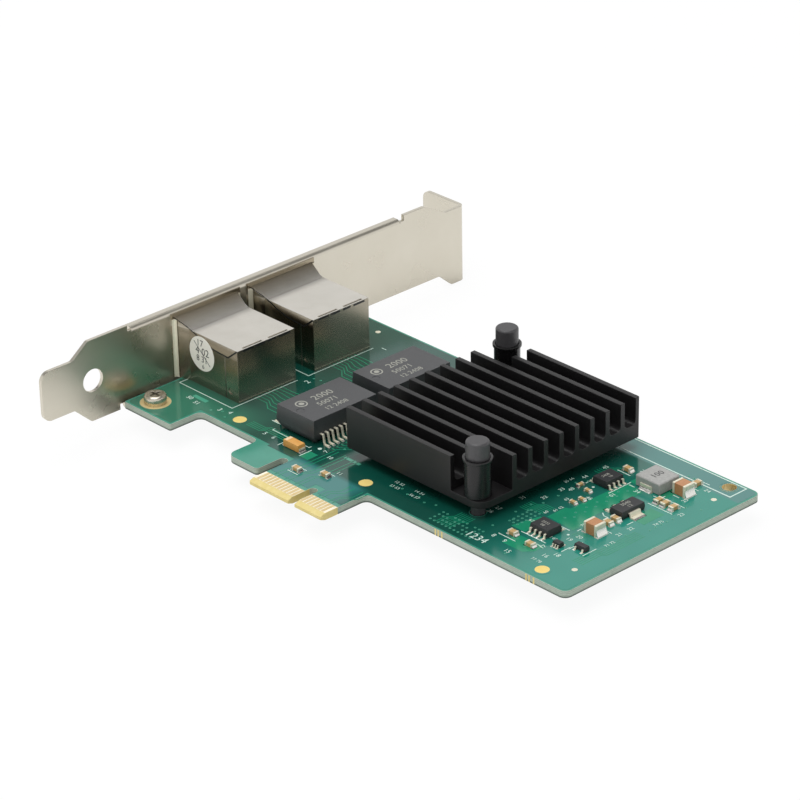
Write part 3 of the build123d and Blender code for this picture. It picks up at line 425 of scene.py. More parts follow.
for i, x in enumerate((59.27, 60.27, 62.27, 63.27)):
    points = [(x, 5.0), (x, 7.6), (x + 1.6 + i * 0.3, 9.4), (x + 1.6 + i * 0.3, 12.2)]
    traces.append(ribbon(points, TRACE_WIDTH))
for points, count, step_x, step_y in (
    ([(90.4, 30.0), (92.2, 30.0), (93.6, 31.2), (95.8, 31.2)], 6, 0, 0.6),
    ([(90.4, 51.0), (91.6, 51.0), (93.2, 52.6), (94.0, 52.6)], 5, 0, 0.7),
    ([(105.6, 29.0), (105.6, 30.2), (106.4, 31.0)], 4, 0.7, 0),
    ([(83.0, 14.4), (83.0, 17.0), (84.2, 18.2), (84.2, 20.4)], 7, 0.6, 0),
    ([(112.6, 22.0), (112.6, 27.4), (113.4, 28.2), (113.4, 38.6)], 5, 0.6, 0),
    ([(26.0, 15.2), (30.0, 15.2), (30.8, 16.0), (36.8, 16.0)], 4, 0, 0.6),
):
    traces += bundle(points, count, step_x, step_y, TRACE_WIDTH)
trace_lines = flat_piece("copper_traces_under_mask", traces, FIELD_Z, TRACE_Z)
trace_lines.data.materials.append(mask_over_pour)

via_places = [(81.5 + 1.1 * i, 14.3 + 1.2 * j) for i in range(11) for j in range(4) if (i * j) % 5 != 1]
via_places += [(93.0 + 1.1 * i, 24.6 + 1.2 * j) for i in range(3) for j in range(6)]
via_places += [(91.3 + 1.3 * (j % 2), 28.0 + 2.1 * j) for j in range(10)]
via_places += [(16.0 + 2.2 * i, 14.2 + 1.3 * (i % 2)) for i in range(3)]
via_places += [(20.4 + 1.7 * i, 38.9 + 0.4 * (i % 2)) for i in range(5)]
via_places += [(48.4, 22.0 + 1.4 * j) for j in range(9)] + [(49.6, 42.6 + 1.4 * j) for j in range(9)]
via_places += [(66.4 + 2.4 * i, 17.9 + 0.9 * (i % 2)) for i in range(6)]
via_places += [(99.8 + 1.1 * (j % 2), 33.0 + 1.5 * j) for j in range(12)]
via_places += [(105.2 + 1.5 * i, 62.6) for i in range(2)]
via_places += [(92.0, 21.0), (93.2, 25.4), (113.6, 52.6), (104.9, 46.6)]
via_places += [(114.9, 41.0 + 1.6 * j) for j in range(5)] + [(116.4, 54.0), (101.6, 14.9), (112.9, 36.2)]
VIA_RIM_Z = TRACE_Z + 0.015
via_loops = [ring(x, y, 0.27, 10) for x, y in via_places]
via_rims = flat_piece("via_rings_under_mask", via_loops, TRACE_Z, VIA_RIM_Z)
via_rims.data.materials.append(mask_over_land)
bore_loops = [ring(x, y, 0.12, 8) for x, y in via_places]
via_bores = flat_piece("via_bores", bore_loops, VIA_RIM_Z, TRACE_Z + 0.02)
# The bore is plugged with mask and looks dark.
plugged_bore, tree, shader, place = start_material("plugged_via_bore", {"Roughness": 0.5})
mottle_colour(tree, shader, place, 0.5, 2.0, "#0B2A21", "#12392E")
via_bores.data.materials.append(plugged_bore)

underside_outline = [
    (10.5, 5.3), (13.7, 5.3), (13.7, 13.5), (34.3, 13.5), (34.3, 5.4), (38.2, 5.4), (38.2, 12.8),
    (45.0, 12.8), (45.0, 6.0), (54.6, 6.0), (54.6, 8.6), (58.9, 8.6), (58.9, 6.0), (64.4, 6.0),
    (64.4, 13.5), (118.6, 13.5), (118.6, 62.0), (111.0, 62.0), (111.0, 66.1), (1.6, 66.1),
    (1.6, 17.0), (10.5, 17.0),
]
underside_plane = flat_piece(
    "underside_planes_under_mask",
    [underside_outline] + [ring(x, y, 2.4) for x, y in PIN_PLACES]
    + [panel(1.9, 10.2, 57.6, 65.6)],
    UNDERSIDE_Z - FIELD_Z, UNDERSIDE_Z,
)
underside_plane.data.materials.append(mask_over_plane_painted_light)
underside_lines = []
for i in range(9):
    bent = [(47.0 + i, 8.0), (47.0 + i, 14.0 + i), (60.0 + i, 27.0 + i), (60.0 + i, 52.0)]
    underside_lines.append(ribbon(bent, 0.25))
underside_lines += bundle([(88.0, 30.0), (95.0, 30.0), (98.0, 33.0), (112.0, 33.0)], 7, 0, 1.1, 0.25)
underside_lines += bundle([(24.0, 24.0), (36.0, 24.0), (40.0, 28.0), (50.0, 28.0)], 6, 0, 1.3, 0.25)
underside_traces = flat_piece(
    "underside_traces_under_mask", underside_lines, UNDERSIDE_Z - TRACE_Z, UNDERSIDE_Z - FIELD_Z,
)
underside_traces.data.materials.append(mask_over_pour)

# ---- White legend ----------------------------------------------------------------------------
# White epoxy ink screened on the mask: outlines of the jacks and modules, a long empty box
# by the top edge, and plain reference numbers beside the small parts.

LEGEND_LOW_Z = 0.045
LEGEND_Z = 0.06
INK_WIDTH = 0.2


def printed(text, place, height_mm, turn_deg=0, upright=False, thick_mm=0.01):
    """Plain numbers as a thin mesh, centred on a place, turned about the vertical."""
    tilt = math.radians(90) if upright else 0
    bpy.ops.object.select_all(action="DESELECT")
    bpy.ops.object.text_add(location=place, rotation=(tilt, 0, math.radians(turn_deg)))
    label = bpy.context.object
    label.data.body = text
    label.data.size = height_mm / 1000 / 0.7
    label.data.align_x = "CENTER"
    label.data.align_y = "CENTER"
    label.data.resolution_u = 2
    label.data.extrude = thick_mm / 1000
    bpy.ops.object.convert(target="MESH")
    bpy.ops.object.transform_apply(location=True, rotation=True, scale=True)
    return bpy.context.object


def join(pieces, name):
    """Many meshes as one named piece."""
    bpy.ops.object.select_all(action="DESELECT")
    for piece in pieces:
        piece.select_set(True)
    bpy.context.view_layer.objects.active = pieces[0]
    bpy.ops.object.join()
    whole = bpy.context.object
    whole.name = name
    whole.data.name = name
    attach(whole, "root")
    return whole


def repaint(piece, material):
    """Gives a piece one material in place of any it has."""
    piece.data.materials.clear()
    piece.data.materials.append(material)


strokes = [
    [(1.7, 20.0), (1.7, 17.8), (18.5, 17.8), (18.5, 36.0)],
    [(1.7, 41.0), (1.7, 39.0), (18.6, 39.0), (18.6, 57.6)],
    [(31.7, 18.0), (31.7, 17.4), (42.8, 17.4), (42.8, 18.0)],
    [(31.7, 38.8), (31.7, 37.9), (42.8, 37.9), (42.8, 38.8)],
    [(28.4, 20.1), (31.0, 20.1)],
    [(92.8, 46.0), (92.8, 52.9)], [(98.9, 46.2), (98.9, 52.6)],
    [(97.6, 23.2), (104.2, 23.2)], [(97.8, 30.0), (104.0, 30.0)],
    [(103.6, 39.6), (104.6, 38.9), (109.2, 38.9)], [(110.3, 39.4), (110.3, 41.2)],
    [(108.4, 54.6), (110.0, 54.6)], [(108.4, 58.7), (110.0, 58.7)],
    [(99.3, 51.6), (100.8, 51.6)], [(105.9, 51.6), (107.6, 51.6), (107.6, 53.2)],
    [(99.3, 59.2), (107.6, 59.2), (107.6, 57.8)],
    [(105.2, 34.9), (110.6, 34.9)], [(105.2, 30.9), (105.2, 32.0)],
    [(37.4, 13.6), (37.4, 17.0)], [(44.0, 13.6), (44.0, 17.0)],
    [(46.8, 10.4), (49.8, 10.4)], [(46.8, 8.0), (49.8, 8.0)], [(52.6, 12.8), (55.6, 12.8)],
    [(108.7, 22.9), (108.7, 25.4)], [(109.0, 24.6), (109.0, 28.4)], [(112.7, 24.6), (112.7, 28.4)],
    [(95.0, 19.6), (99.6, 19.6)], [(101.4, 21.7), (104.6, 21.7)], [(93.4, 54.5), (96.9, 54.5)],
    [(106.9, 62.7), (110.7, 62.7)], [(106.9, 59.4), (110.7, 59.4)],
    [(107.1, 52.3), (113.6, 52.3)], [(107.1, 48.7), (113.6, 48.7)],
    [(47.5, 61.5), (48.8, 61.5)],
]
legend_loops = [ribbon(points, INK_WIDTH) for points in strokes]
legend_loops += [panel(59.4, 117.0, 61.7, 66.8), panel(59.7, 116.7, 62.0, 66.5)]
legend_loops += [ring(44.7, 18.6, 0.45, 12), ring(95.0, 45.9, 0.3, 10), ring(105.0, 28.6, 0.3, 10)]
legend_lines = flat_piece("legend_outlines", legend_loops, LEGEND_LOW_Z, LEGEND_Z)

numbers = [
    ("12 52", 66.8, 19.9, 0.8, 0), ("13 53", 67.2, 18.2, 0.8, 0), ("14 54", 72.4, 20.0, 0.8, 0),
    ("56 57", 72.8, 18.2, 0.8, 0), ("60", 95.6, 32.0, 0.8, 90), ("61 62", 96.4, 34.6, 0.8, 90),
    ("63", 94.8, 38.6, 0.8, 90), ("64", 93.4, 49.0, 0.8, 90), ("65 66", 89.6, 44.6, 0.8, 90),
    ("67", 96.0, 27.6, 0.8, 0), ("68 69", 103.6, 25.6, 0.8, 0), ("70", 104.4, 33.4, 0.8, 90),
    ("71 72", 113.2, 31.6, 0.8, 90), ("74 75", 114.2, 44.2, 0.8, 90), ("76", 96.8, 21.3, 0.8, 0),
    ("77 78", 107.6, 17.2, 0.8, 0), ("79", 95.2, 55.8, 0.8, 90),
    ("26", 87.6, 24.6, 1.0, 0), ("27", 87.9, 26.6, 1.0, 0), ("31", 88.2, 33.0, 1.0, 90),
    ("32", 91.2, 36.0, 1.0, 90), ("33", 91.3, 40.8, 1.0, 90), ("40", 92.6, 42.2, 1.0, 90),
    ("44", 90.9, 47.8, 1.0, 90), ("45", 91.0, 53.6, 1.0, 90), ("46", 97.6, 42.0, 1.0, 0),
    ("8", 95.0, 18.3, 1.1, 0), ("9", 98.0, 18.2, 1.1, 0), ("15", 101.2, 15.8, 1.1, 0),
    ("16", 107.6, 19.6, 1.1, 0), ("17", 104.9, 21.8, 1.0, 90), ("18", 109.0, 21.4, 1.1, 0),
    ("19", 106.4, 27.4, 1.0, 0), ("20", 107.2, 29.4, 1.0, 0), ("21", 111.9, 35.6, 1.0, 90),
    ("22", 111.9, 38.8, 1.0, 90), ("23", 115.0, 49.8, 1.0, 90), ("24", 112.0, 60.6, 1.0, 0),
    ("25", 111.6, 54.6, 1.0, 90), ("28", 97.6, 57.6, 1.0, 0), ("34", 102.4, 50.6, 1.0, 0),
    ("1234", 93.2, 15.4, 1.9, 0), ("01", 100.0, 46.2, 1.0, 90),
    ("3", 17.2, 15.6, 1.2, 0), ("4", 19.8, 16.2, 1.2, 0), ("5", 31.8, 15.2, 1.1, 0),
    ("6", 34.4, 15.2, 1.1, 0),
    ("7", 46.6, 18.6, 1.1, 90), ("10", 49.0, 17.4, 1.0, 0), ("11", 55.4, 14.2, 1.0, 0),
    ("2", 20.6, 36.9, 1.4, 90), ("1", 20.6, 58.9, 1.4, 90), ("35", 46.9, 38.0, 1.0, 90),
    ("36", 36.8, 59.6, 1.2, 0), ("37", 27.0, 62.4, 1.2, 0), ("0123456789", 75.0, 64.3, 1.6, 0),
    ("50", 8.6, 14.8, 1.1, 0), ("51", 11.4, 14.2, 1.1, 0),
]
labels = [printed(text, spot(x, y, LEGEND_Z), size, turn) for text, x, y, size, turn in numbers]
legend = join([legend_lines] + labels, "white_legend")
# Screened ink lies a little unevenly and is thin at its edges.
legend_ink = mottled_material("white_epoxy_ink", {"Roughness": 0.5}, 0.5, 3.0, "#A9CDBF", "#E4F2EA")
repaint(legend, legend_ink)

# ---- Gold contacts and pads ------------------------------------------------------------------
# Copper plated with nickel and thin gold: the contacts on both faces of the tongue, the rings
# under the bracket screws, the alignment discs and test points, and the lining of one hole.

edge_contacts = finished_copy("edge_contacts", "gold_edge_contacts", 0.02)
ring_pads = finished_copy("screw_ring_pads", "gold_screw_rings", 0.02)
round_pads = finished_copy("alignment_pads", "gold_alignment_pads", 0.02)
hole_lining = finished_copy("plated_hole_lining", "gold_hole_lining", 0.02)

# The mask overlaps the rims of the alignment discs.
PAD_SHOWN = 1.45
pad_rims = [ring(x, y, radius, 28) for x, y in PAD_PLACES for radius in (PAD_OPENING, PAD_SHOWN)]
rim_mask = flat_piece("mask_over_pad_rims", pad_rims, 0, 0.06)
rim_mask.data.materials.append(mask_over_plane_painted_light)

gold_plate, tree, shader, place = start_material("immersion_gold_plating", {"Metallic": 0.75})
wear = mottle_colour(tree, shader, place, 1.6, 3.0, "#E2C785", "#EEDDB2")
vary_roughness(tree, shader, wear, 0.4, 0.6)
for piece in (edge_contacts, ring_pads, hole_lining):
    piece.data.materials.append(gold_plate)
# The land of the hole is under the mask, and only its lining shows.
hole_lining.data.materials.append(mask_over_plane_painted_light)
for face in hole_lining.data.polygons:
    if abs(face.normal.z) > 0.9:
        face.material_index = 1

# The discs are etched dull, so they look bright from every side.
dull_gold = mottled_material(
    "dull_gold_disc", {"Metallic": 0.3, "Roughness": 0.6}, 1.6, 3.0, "#EACD70", "#F3DD92",
)
round_pads.data.materials.append(dull_gold)

# ---- Ceramic chip capacitors and resistors ---------------------------------------------------
# Fired ceramic blocks with dipped silver and tin ends, reflowed to pads on the board. The
# smallest ones are resistors with a tan glaze.

large_bodies = finished_copy("large_capacitor_bodies", "large_ceramic_blocks", 0.08, 2)
small_bodies = finished_copy("small_capacitor_bodies", "small_ceramic_blocks", 0.05)
resistor_bodies = finished_copy("chip_resistor_bodies", "film_resistor_blocks", 0.04)
large_ends = finished_copy("large_capacitor_ends", "large_ceramic_ends", 0.08, 2)
small_ends = finished_copy("small_capacitor_ends", "small_ceramic_ends", 0.04)
resistor_ends = finished_copy("chip_resistor_ends", "film_resistor_ends", 0.03)

# Barium titanate ceramic: tan to brown, fine-grained, with a faint glaze.
ceramic, tree, shader, place = start_material("fired_titanate_ceramic", {"Roughness": 0.42, "IOR": 1.6})
grain = mottle_colour(tree, shader, place, 0.35, 4.0, "#A26B45", "#C58F5E")
emboss(tree, shader, grain, 0.25, 0.00002)
large_bodies.data.materials.append(ceramic)

# The small blocks are fired paler.
pale_ceramic = mottled_material(
    "pale_titanate_ceramic", {"Roughness": 0.42, "IOR": 1.6}, 0.3, 3.0, "#AD8A55", "#CDAE79",
)
small_bodies.data.materials.append(pale_ceramic)
resistor_bodies.data.materials.append(pale_ceramic)

# Matt tin: pale, soft sheen, slightly cloudy where it wetted.
matt_tin, tree, shader, place = start_material("matt_tin_plating", {"Metallic": 0.5})
cloud = mottle_colour(tree, shader, place, 0.7, 3.0, "#DED8C2", "#F4EFDC")
vary_roughness(tree, shader, cloud, 0.4, 0.58)
for piece in (large_ends, small_ends, resistor_ends, round_pads):
    piece.data.materials.append(matt_tin)
# The test points are tinned, unlike the alignment discs.
for face in round_pads.data.polygons:
    if min(math.dist(face.center.xy, spot(x, y, 0).xy) for x, y in PAD_PLACES) > 0.002:
        face.material_index = 1

# ---- Moulded packages with formed leads ------------------------------------------------------
# Memory and logic packages, a regulator with a wide tab and a transistor: black epoxy moulded
# round a stamped frame, laser marked, with tinned leads bent down to the board.

package_edge = 0.06
memory_1 = finished_copy("memory_body_1", "memory_package_1", package_edge)
memory_2 = finished_copy("memory_body_2", "memory_package_2", package_edge)
regulator = finished_copy("regulator_body", "regulator_package", package_edge)
logic = finished_copy("logic_body", "logic_package", 0.03)
transistor = finished_copy("transistor_body", "transistor_package", 0.03)

# Moulding epoxy: near black, matt, with a fine sparkle of silica filler.
package_epoxy, tree, shader, place = start_material("silica_filled_epoxy", {"Roughness": 0.48})
filler = mottle_colour(tree, shader, place, 0.12, 3.0, "#1E1F20", "#37383A")
emboss(tree, shader, filler, 0.35, 0.00001)
for piece in (memory_1, memory_2, regulator, logic, transistor):
    piece.data.materials.append(package_epoxy)

lead_pieces = []
for node, name in (
    ("memory_leads_1", "memory_lead_set_1"), ("memory_leads_2", "memory_lead_set_2"),
    ("regulator_leads", "regulator_lead_set"), ("logic_leads", "logic_lead_set"),
    ("transistor_leads", "transistor_lead_set"),
):
    piece = finished_copy(node, name, 0.02)
    piece.data.materials.append(matt_tin)
    lead_pieces.append(piece)

package_marks = [
    printed("2408", spot(95.4, 49.0, 1.71), 0.7, 90), printed("16", spot(96.4, 49.4, 1.71), 0.7, 90),
    printed("2532", spot(100.6, 26.9, 1.71), 0.7, 0), printed("08", spot(100.8, 25.8, 1.71), 0.7, 0),
    printed("3040", spot(106.2, 43.3, 1.71), 0.9, 90), printed("12", spot(107.4, 43.3, 1.71), 0.9, 90),
]
package_print = join(package_marks, "package_numbers")
# Laser marking leaves the epoxy a pale, dry grey.
laser_mark = mottled_material("laser_marked_epoxy", {"Roughness": 0.7}, 0.2, 2.0, "#7F8078", "#B4B4AA")
repaint(package_print, laser_mark)

# ---- Power inductor and amber capacitor ------------------------------------------------------
# A ferrite block round a flat winding, with two sheet terminals, and a tantalum capacitor
# moulded in amber epoxy with a pale stripe at its positive end and folded terminals.

inductor = finished_copy("inductor_core", "ferrite_inductor", 0.06, 2)
inductor_ends = finished_copy("inductor_terminals", "inductor_sheet_ends", 0.03)
inductor_ends.data.materials.append(matt_tin)
# Pressed ferrite powder in resin: mid grey, dull, faintly mottled.
ferrite, tree, shader, place = start_material("pressed_ferrite", {"Roughness": 0.38})
mottle = mottle_colour(tree, shader, place, 0.5, 5.0, "#868684", "#B4B4B0")
emboss(tree, shader, mottle, 0.4, 0.00003)
inductor.data.materials.append(ferrite)
inductor_print = join([printed("100", spot(103.4, 55.4, 2.51), 1.5, 90)], "inductor_number")
repaint(inductor_print, package_epoxy)

amber_body = finished_copy("moulded_capacitor_body", "amber_capacitor", 0.1, 2)
amber_ends = finished_copy("moulded_capacitor_terminals", "amber_capacitor_ends", 0.02)
amber_ends.data.materials.append(matt_tin)
amber_epoxy = mottled_material("amber_moulding_epoxy", {"Roughness": 0.4}, 0.8, 3.0, "#CC8A3C", "#E6B265")
amber_body.data.materials.append(amber_epoxy)
stripe = flat_piece("amber_capacitor_stripe", [panel(38.72, 39.5, 14.35, 16.15)], 1.6, 1.615)
stripe_ink = mottled_material("pale_stripe_ink", {"Roughness": 0.5}, 0.4, 2.0, "#F0D9B8", "#E4BF8E")
stripe.data.materials.append(stripe_ink)

# ---- Line transformer modules ----------------------------------------------------------------
# Two blocks of black moulded resin over wound cores, with 24 tinned leads each. Their tops are
# printed with a round mark and rows of plain numbers.

module_bodies = []
module_leads = []
for number in (1, 2):
    body = finished_copy(f"magnetics_body_{number}", f"transformer_module_{number}", 0.08, 2)
    module_bodies.append(body)
    leads = finished_copy(f"magnetics_leads_{number}", f"transformer_leads_{number}", 0.03)
    leads.data.materials.append(matt_tin)
    module_leads.append(leads)

# Moulded resin with a spark-eroded matt surface that goes pale at a low angle.
module_resin, tree, shader, place = start_material("eroded_matt_resin", {"Roughness": 0.4})
texture = mottle_colour(tree, shader, place, 0.16, 3.0, "#333436", "#4D4E50")
emboss(tree, shader, texture, 0.5, 0.00001)
for body in module_bodies:
    body.data.materials.append(module_resin)

MODULE_TOP_Z = 5.5
module_marks = []
for x, y in ((37.25, 27.45), (37.4, 48.25)):
    circles = [ring(x - 2.0, y - 5.2, radius, count) for radius, count in ((1.35, 28), (1.05, 28), (0.6, 20))]
    disc = flat_piece(
        "module_round_mark", circles, MODULE_TOP_Z, MODULE_TOP_Z + 0.015,
    )
    module_marks.append(disc)
    for text, dx, dy, size in (
        ("2000", -2.0, 0.6, 1.9), ("50071", 0.7, -0.4, 1.5), ("12 2408", 3.2, -0.2, 1.3),
    ):
        module_marks.append(printed(text, spot(x + dx, y + dy, MODULE_TOP_Z + 0.005), size, 90))
module_print = join(module_marks, "module_numbers")
repaint(module_print, laser_mark)

# ---- Solder ----------------------------------------------------------------------------------
# Tinned pads and the small fillets of reflowed solder that climb the chips' ends and the
# leads' feet, and the cones round the jacks' tails on the far side.


def solid_boxes(piece):
    """The lowest and highest corner of each separate solid in a piece."""
    shape = bmesh.new()
    shape.from_mesh(piece.data)
    left = set(shape.verts)
    boxes = []
    while left:
        reached = [left.pop()]
        members = []
        while reached:
            corner = reached.pop()
            members.append(corner.co.copy())
            for edge in corner.link_edges:
                other = edge.other_vert(corner)
                if other in left:
                    left.remove(other)
                    reached.append(other)
        low = Vector([min(m[axis] for m in members) for axis in range(3)])
        high = Vector([max(m[axis] for m in members) for axis in range(3)])
        boxes.append((low, high))
    shape.free()
    return boxes


bpy.ops.object.select_all(action="DESELECT")
bpy.ops.mesh.primitive_cube_add(size=1, location=(0.5, 0, 0.5))
fillet = bpy.context.object
bpy.ops.object.transform_apply(location=True, rotation=False, scale=False)
bpy.ops.object.mode_set(mode="EDIT")
bpy.ops.mesh.select_all(action="SELECT")
bpy.ops.mesh.bisect(plane_co=(0.4, 0, 0), plane_no=(1, 0, 0))
bpy.ops.mesh.select_all(action="DESELECT")
bpy.ops.object.mode_set(mode="OBJECT")
for vertex in fillet.data.vertices:
    vertex.select = vertex.co.z > 0.9 and vertex.co.x > 0.9
bpy.ops.object.mode_set(mode="EDIT")
bpy.ops.mesh.select_mode(type="VERT")
bpy.ops.transform.translate(value=(0, 0, -0.88))
bpy.ops.mesh.select_all(action="DESELECT")
bpy.ops.object.mode_set(mode="OBJECT")
for vertex in fillet.data.vertices:
    vertex.select = vertex.co.z > 0.9 and 0.3 < vertex.co.x < 0.5
bpy.ops.object.mode_set(mode="EDIT")
bpy.ops.transform.translate(value=(0, 0, -0.6))
bpy.ops.object.mode_set(mode="OBJECT")
bpy.ops.object.shade_smooth_by_angle(angle=math.radians(60))

pad_loops = []
fillets = []
pairs = [
    (large_ends, large_bodies, 0.5, 0.6), (small_ends, small_bodies, 0.3, 0.6),
    (resistor_ends, resistor_bodies, 0.25, 0.6), (inductor_ends, inductor, 0.5, 0.45),
    (amber_ends, amber_body, 0.35, 0.5), (module_leads[0], module_bodies[0], 0.3, 0.09),
    (module_leads[1], module_bodies[1], 0.3, 0.09), (lead_pieces[0], memory_1, 0.25, 0.16),
    (lead_pieces[1], memory_2, 0.25, 0.16), (lead_pieces[2], regulator, 0.4, 0.22),
    (lead_pieces[3], logic, 0.15, 0.18), (lead_pieces[4], transistor, 0.2, 0.18),
]
for ends, bodies, run_mm, climb in pairs:
    body_boxes = solid_boxes(bodies)
    for low, high in solid_boxes(ends):
        middle = (low + high) / 2
        body_low, body_high = min(body_boxes, key=lambda b: ((b[0] + b[1]) / 2 - middle).length)
        for axis, side in ((0, 1), (0, -1), (1, 1), (1, -1)):
            out = high[axis] - body_high[axis] if side > 0 else body_low[axis] - low[axis]
            if out > 0.0001:
                break
        run = run_mm / 1000
        across = 1 - axis
        width = high[across] - low[across]
        tip = high[axis] if side > 0 else low[axis]
        depth = min(high[axis] - low[axis], 0.0011)
        span = sorted((tip - side * depth, tip + side * run * 1.15))
        half = width / 2 + 0.00012
        sides = (middle[across] - half, middle[across] + half)
        x_range, y_range = (span, sides) if axis == 0 else (sides, span)
        pad_loops.append([(x * 1000 + KEY_NOTCH_X, y * 1000) for x, y in panel(*x_range, *y_range)])
        wedge = fillet.copy()
        wedge.data = fillet.data.copy()
        bpy.context.collection.objects.link(wedge)
        wedge.location = (tip, middle.y, FIELD_Z / 1000) if axis == 0 else (middle.x, tip, FIELD_Z / 1000)
        wedge.rotation_euler.z = math.atan2(side * axis, side * (1 - axis))
        wedge.scale = (run, width * 0.96, (high.z - low.z) * climb)
        fillets.append(wedge)

pads = flat_piece("tinned_pads", pad_loops, 0, TRACE_Z)

bpy.ops.object.select_all(action="DESELECT")
bpy.ops.mesh.primitive_cone_add(vertices=16, radius1=0.95, radius2=0.32, depth=0.9, location=(0, 0, 0.45))
cone = bpy.context.object
bpy.ops.object.transform_apply(location=True, rotation=False, scale=False)
bpy.ops.object.mode_set(mode="EDIT")
bpy.ops.mesh.select_all(action="SELECT")
bpy.ops.mesh.bisect(plane_co=(0, 0, 0.3), plane_no=(0, 0, 1))
bpy.ops.mesh.select_all(action="DESELECT")
bpy.ops.object.mode_set(mode="OBJECT")
for vertex in cone.data.vertices:
    vertex.select = 0.2 < vertex.co.z < 0.4
bpy.ops.object.mode_set(mode="EDIT")
bpy.ops.transform.resize(value=(0.72, 0.72, 1.0), center_override=(0, 0, 0.3))
bpy.ops.object.mode_set(mode="OBJECT")
bpy.ops.object.shade_smooth_by_angle(angle=math.radians(60))
for middle_y in (28.08, 49.17):
    tails = [(13.3 + 2.5 * (i % 2), middle_y + (i - 3.5) * 1.02, 0.62) for i in range(8)]
    tails += [(4.6, middle_y - 7.73, 1.5), (4.6, middle_y + 7.73, 1.5)]
    for x, y, size in tails:
        joint = cone.copy()
        joint.data = cone.data.copy()
        bpy.context.collection.objects.link(joint)
        joint.location = spot(x, y, UNDERSIDE_Z - FIELD_Z)
        joint.rotation_euler.x = math.pi
        joint.scale = (size / 1000, size / 1000, 0.001)
        fillets.append(joint)
bpy.ops.object.select_all(action="DESELECT")
for piece in fillets:
    piece.select_set(True)
bpy.context.view_layer.objects.active = fillets[0]
bpy.ops.object.transform_apply(location=True, rotation=True, scale=True)
solder = join(fillets, "solder_fillets")
bpy.data.objects.remove(fillet)
bpy.data.objects.remove(cone)

# Reflowed tin-silver solder: bright, with soft reflections and a faint frost.
bright_solder, tree, shader, place = start_material("reflowed_solder", {"Metallic": 1.0})
frost = mottle_colour(tree, shader, place, 0.4, 3.0, "#DAD9D2", "#F0EFEA")
vary_roughness(tree, shader, frost, 0.15, 0.35)
for piece in (solder, pads):
    repaint(piece, bright_solder)

# ---- Controller under the heatsink -----------------------------------------------------------
# A ball-grid package: solder balls, a laminate carrier and a moulded cover, with a soft
# silicone pad that carries its heat to the heatsink.

balls = finished_copy("controller_solder_balls", "controller_balls")
balls.data.materials.append(bright_solder)
carrier = finished_copy("controller_substrate", "controller_carrier", 0.05)
carrier.data.materials.append(mask_over_plane_painted_light)
carrier.data.materials.append(bare_laminate)
for face in carrier.data.polygons:
    if abs(face.normal.z) < 0.9:
        face.material_index = 1
cover = finished_copy("controller_mould", "controller_cover", package_edge)
cover.data.materials.append(package_epoxy)

heat_pad = finished_copy("thermal_pad", "silicone_heat_pad", 0.05)
silicone = mottled_material("filled_silicone_sheet", {"Roughness": 0.65}, 0.5, 4.0, "#8D8F93", "#A9ABAE")
heat_pad.data.materials.append(silicone)

# ---- Heatsink --------------------------------------------------------------------------------
# Extruded aluminium, sawn to length, milled down at two corners for the pins and anodised
# black. The fins run across the card, away from the bracket.

heatsink = finished_copy("heatsink", "finned_heatsink", 0.12, 2)
black_anodising, tree, shader, place = start_material("black_anodised_aluminium", {"IOR": 1.43})
# Drawing lines from the die, 0.15 mm apart, run along the fins.
along_fins = add_node(
    tree, "ShaderNodeMapping", {"Scale": (1000 / 25, 1000 / 0.15, 1000 / 0.15)}, {"Vector": place},
)
lines = add_node(tree, "ShaderNodeTexNoise", {"Scale": 1.0, "Detail": 3.0}, {"Vector": along_fins.outputs[0]})
mottle_colour(tree, shader, place, 7, 2.0, "#100F10", "#1B1A1B")
vary_roughness(tree, shader, lines, 0.34, 0.5)
emboss(tree, shader, lines, 0.3, 0.00001)
heatsink.data.materials.append(black_anodising)

# ---- Spring pins -----------------------------------------------------------------------------
# Black nylon pins pushed through the heatsink's corners: a round cap over a guide cup, a
# steel spring inside the cup, and a split barb that snaps below the board.

pins = finished_copy("push_pins", "nylon_push_pins", 0.1, 2, 40)
sleeves = finished_copy("pin_sleeves", "nylon_pin_cups", 0.12, 2, 40)
nylon, tree, shader, place = start_material("black_nylon", {"Roughness": 0.26, "IOR": 1.45})
skin = mottle_colour(tree, shader, place, 0.3, 3.0, "#0C0B0C", "#151415")
emboss(tree, shader, skin, 0.3, 0.00001)
sleeves.data.materials.append(nylon)

# The caps have a coarser skin, and are painted greyer than the cups: a painted reflection on their tops.
cap_nylon_painted_sheen = mottled_material(
    "black_nylon_with_painted_sheen", {"Roughness": 0.45, "IOR": 1.6}, 0.3, 3.0, "#2F2E30", "#424143",
)
pins.data.materials.append(cap_nylon_painted_sheen)

springs = finished_copy("pin_springs", "steel_pin_springs", 0, 1, 60)
spring_wire = mottled_material(
    "drawn_spring_steel", {"Metallic": 1.0, "Roughness": 0.3}, 0.4, 2.0, "#8C8B88", "#AAA9A5",
)
springs.data.materials.append(spring_wire)

# ---- Jacks -----------------------------------------------------------------------------------
# Two shielded eight-contact jacks: a moulded housing with gold spring contacts, inside a
# tin-plated steel shell stamped and folded so that fine seams and slots show.

JACK_LOW_Y = (20.2, 41.29)
JACK_WIDTH = 15.76
PLATE_X = -1.2
RAMP_FOOT_X = 3.6

# Rolled and plated sheet: neutral, mirroring, with a faint cloud.
tin_plate, tree, shader, place = start_material("tin_plated_steel", {"Metallic": 1.0})
cloud = add_node(tree, "ShaderNodeTexNoise", {"Scale": 1000 / 5, "Detail": 3.0}, {"Vector": place})
tone = add_node(
    tree, "ShaderNodeMix",
    {"data_type": "RGBA", 6: linear("#C8C4BB"), 7: linear("#D9D5CD")}, {0: cloud.outputs[0]},
)
vary_roughness(tree, shader, cloud, 0.24, 0.27)
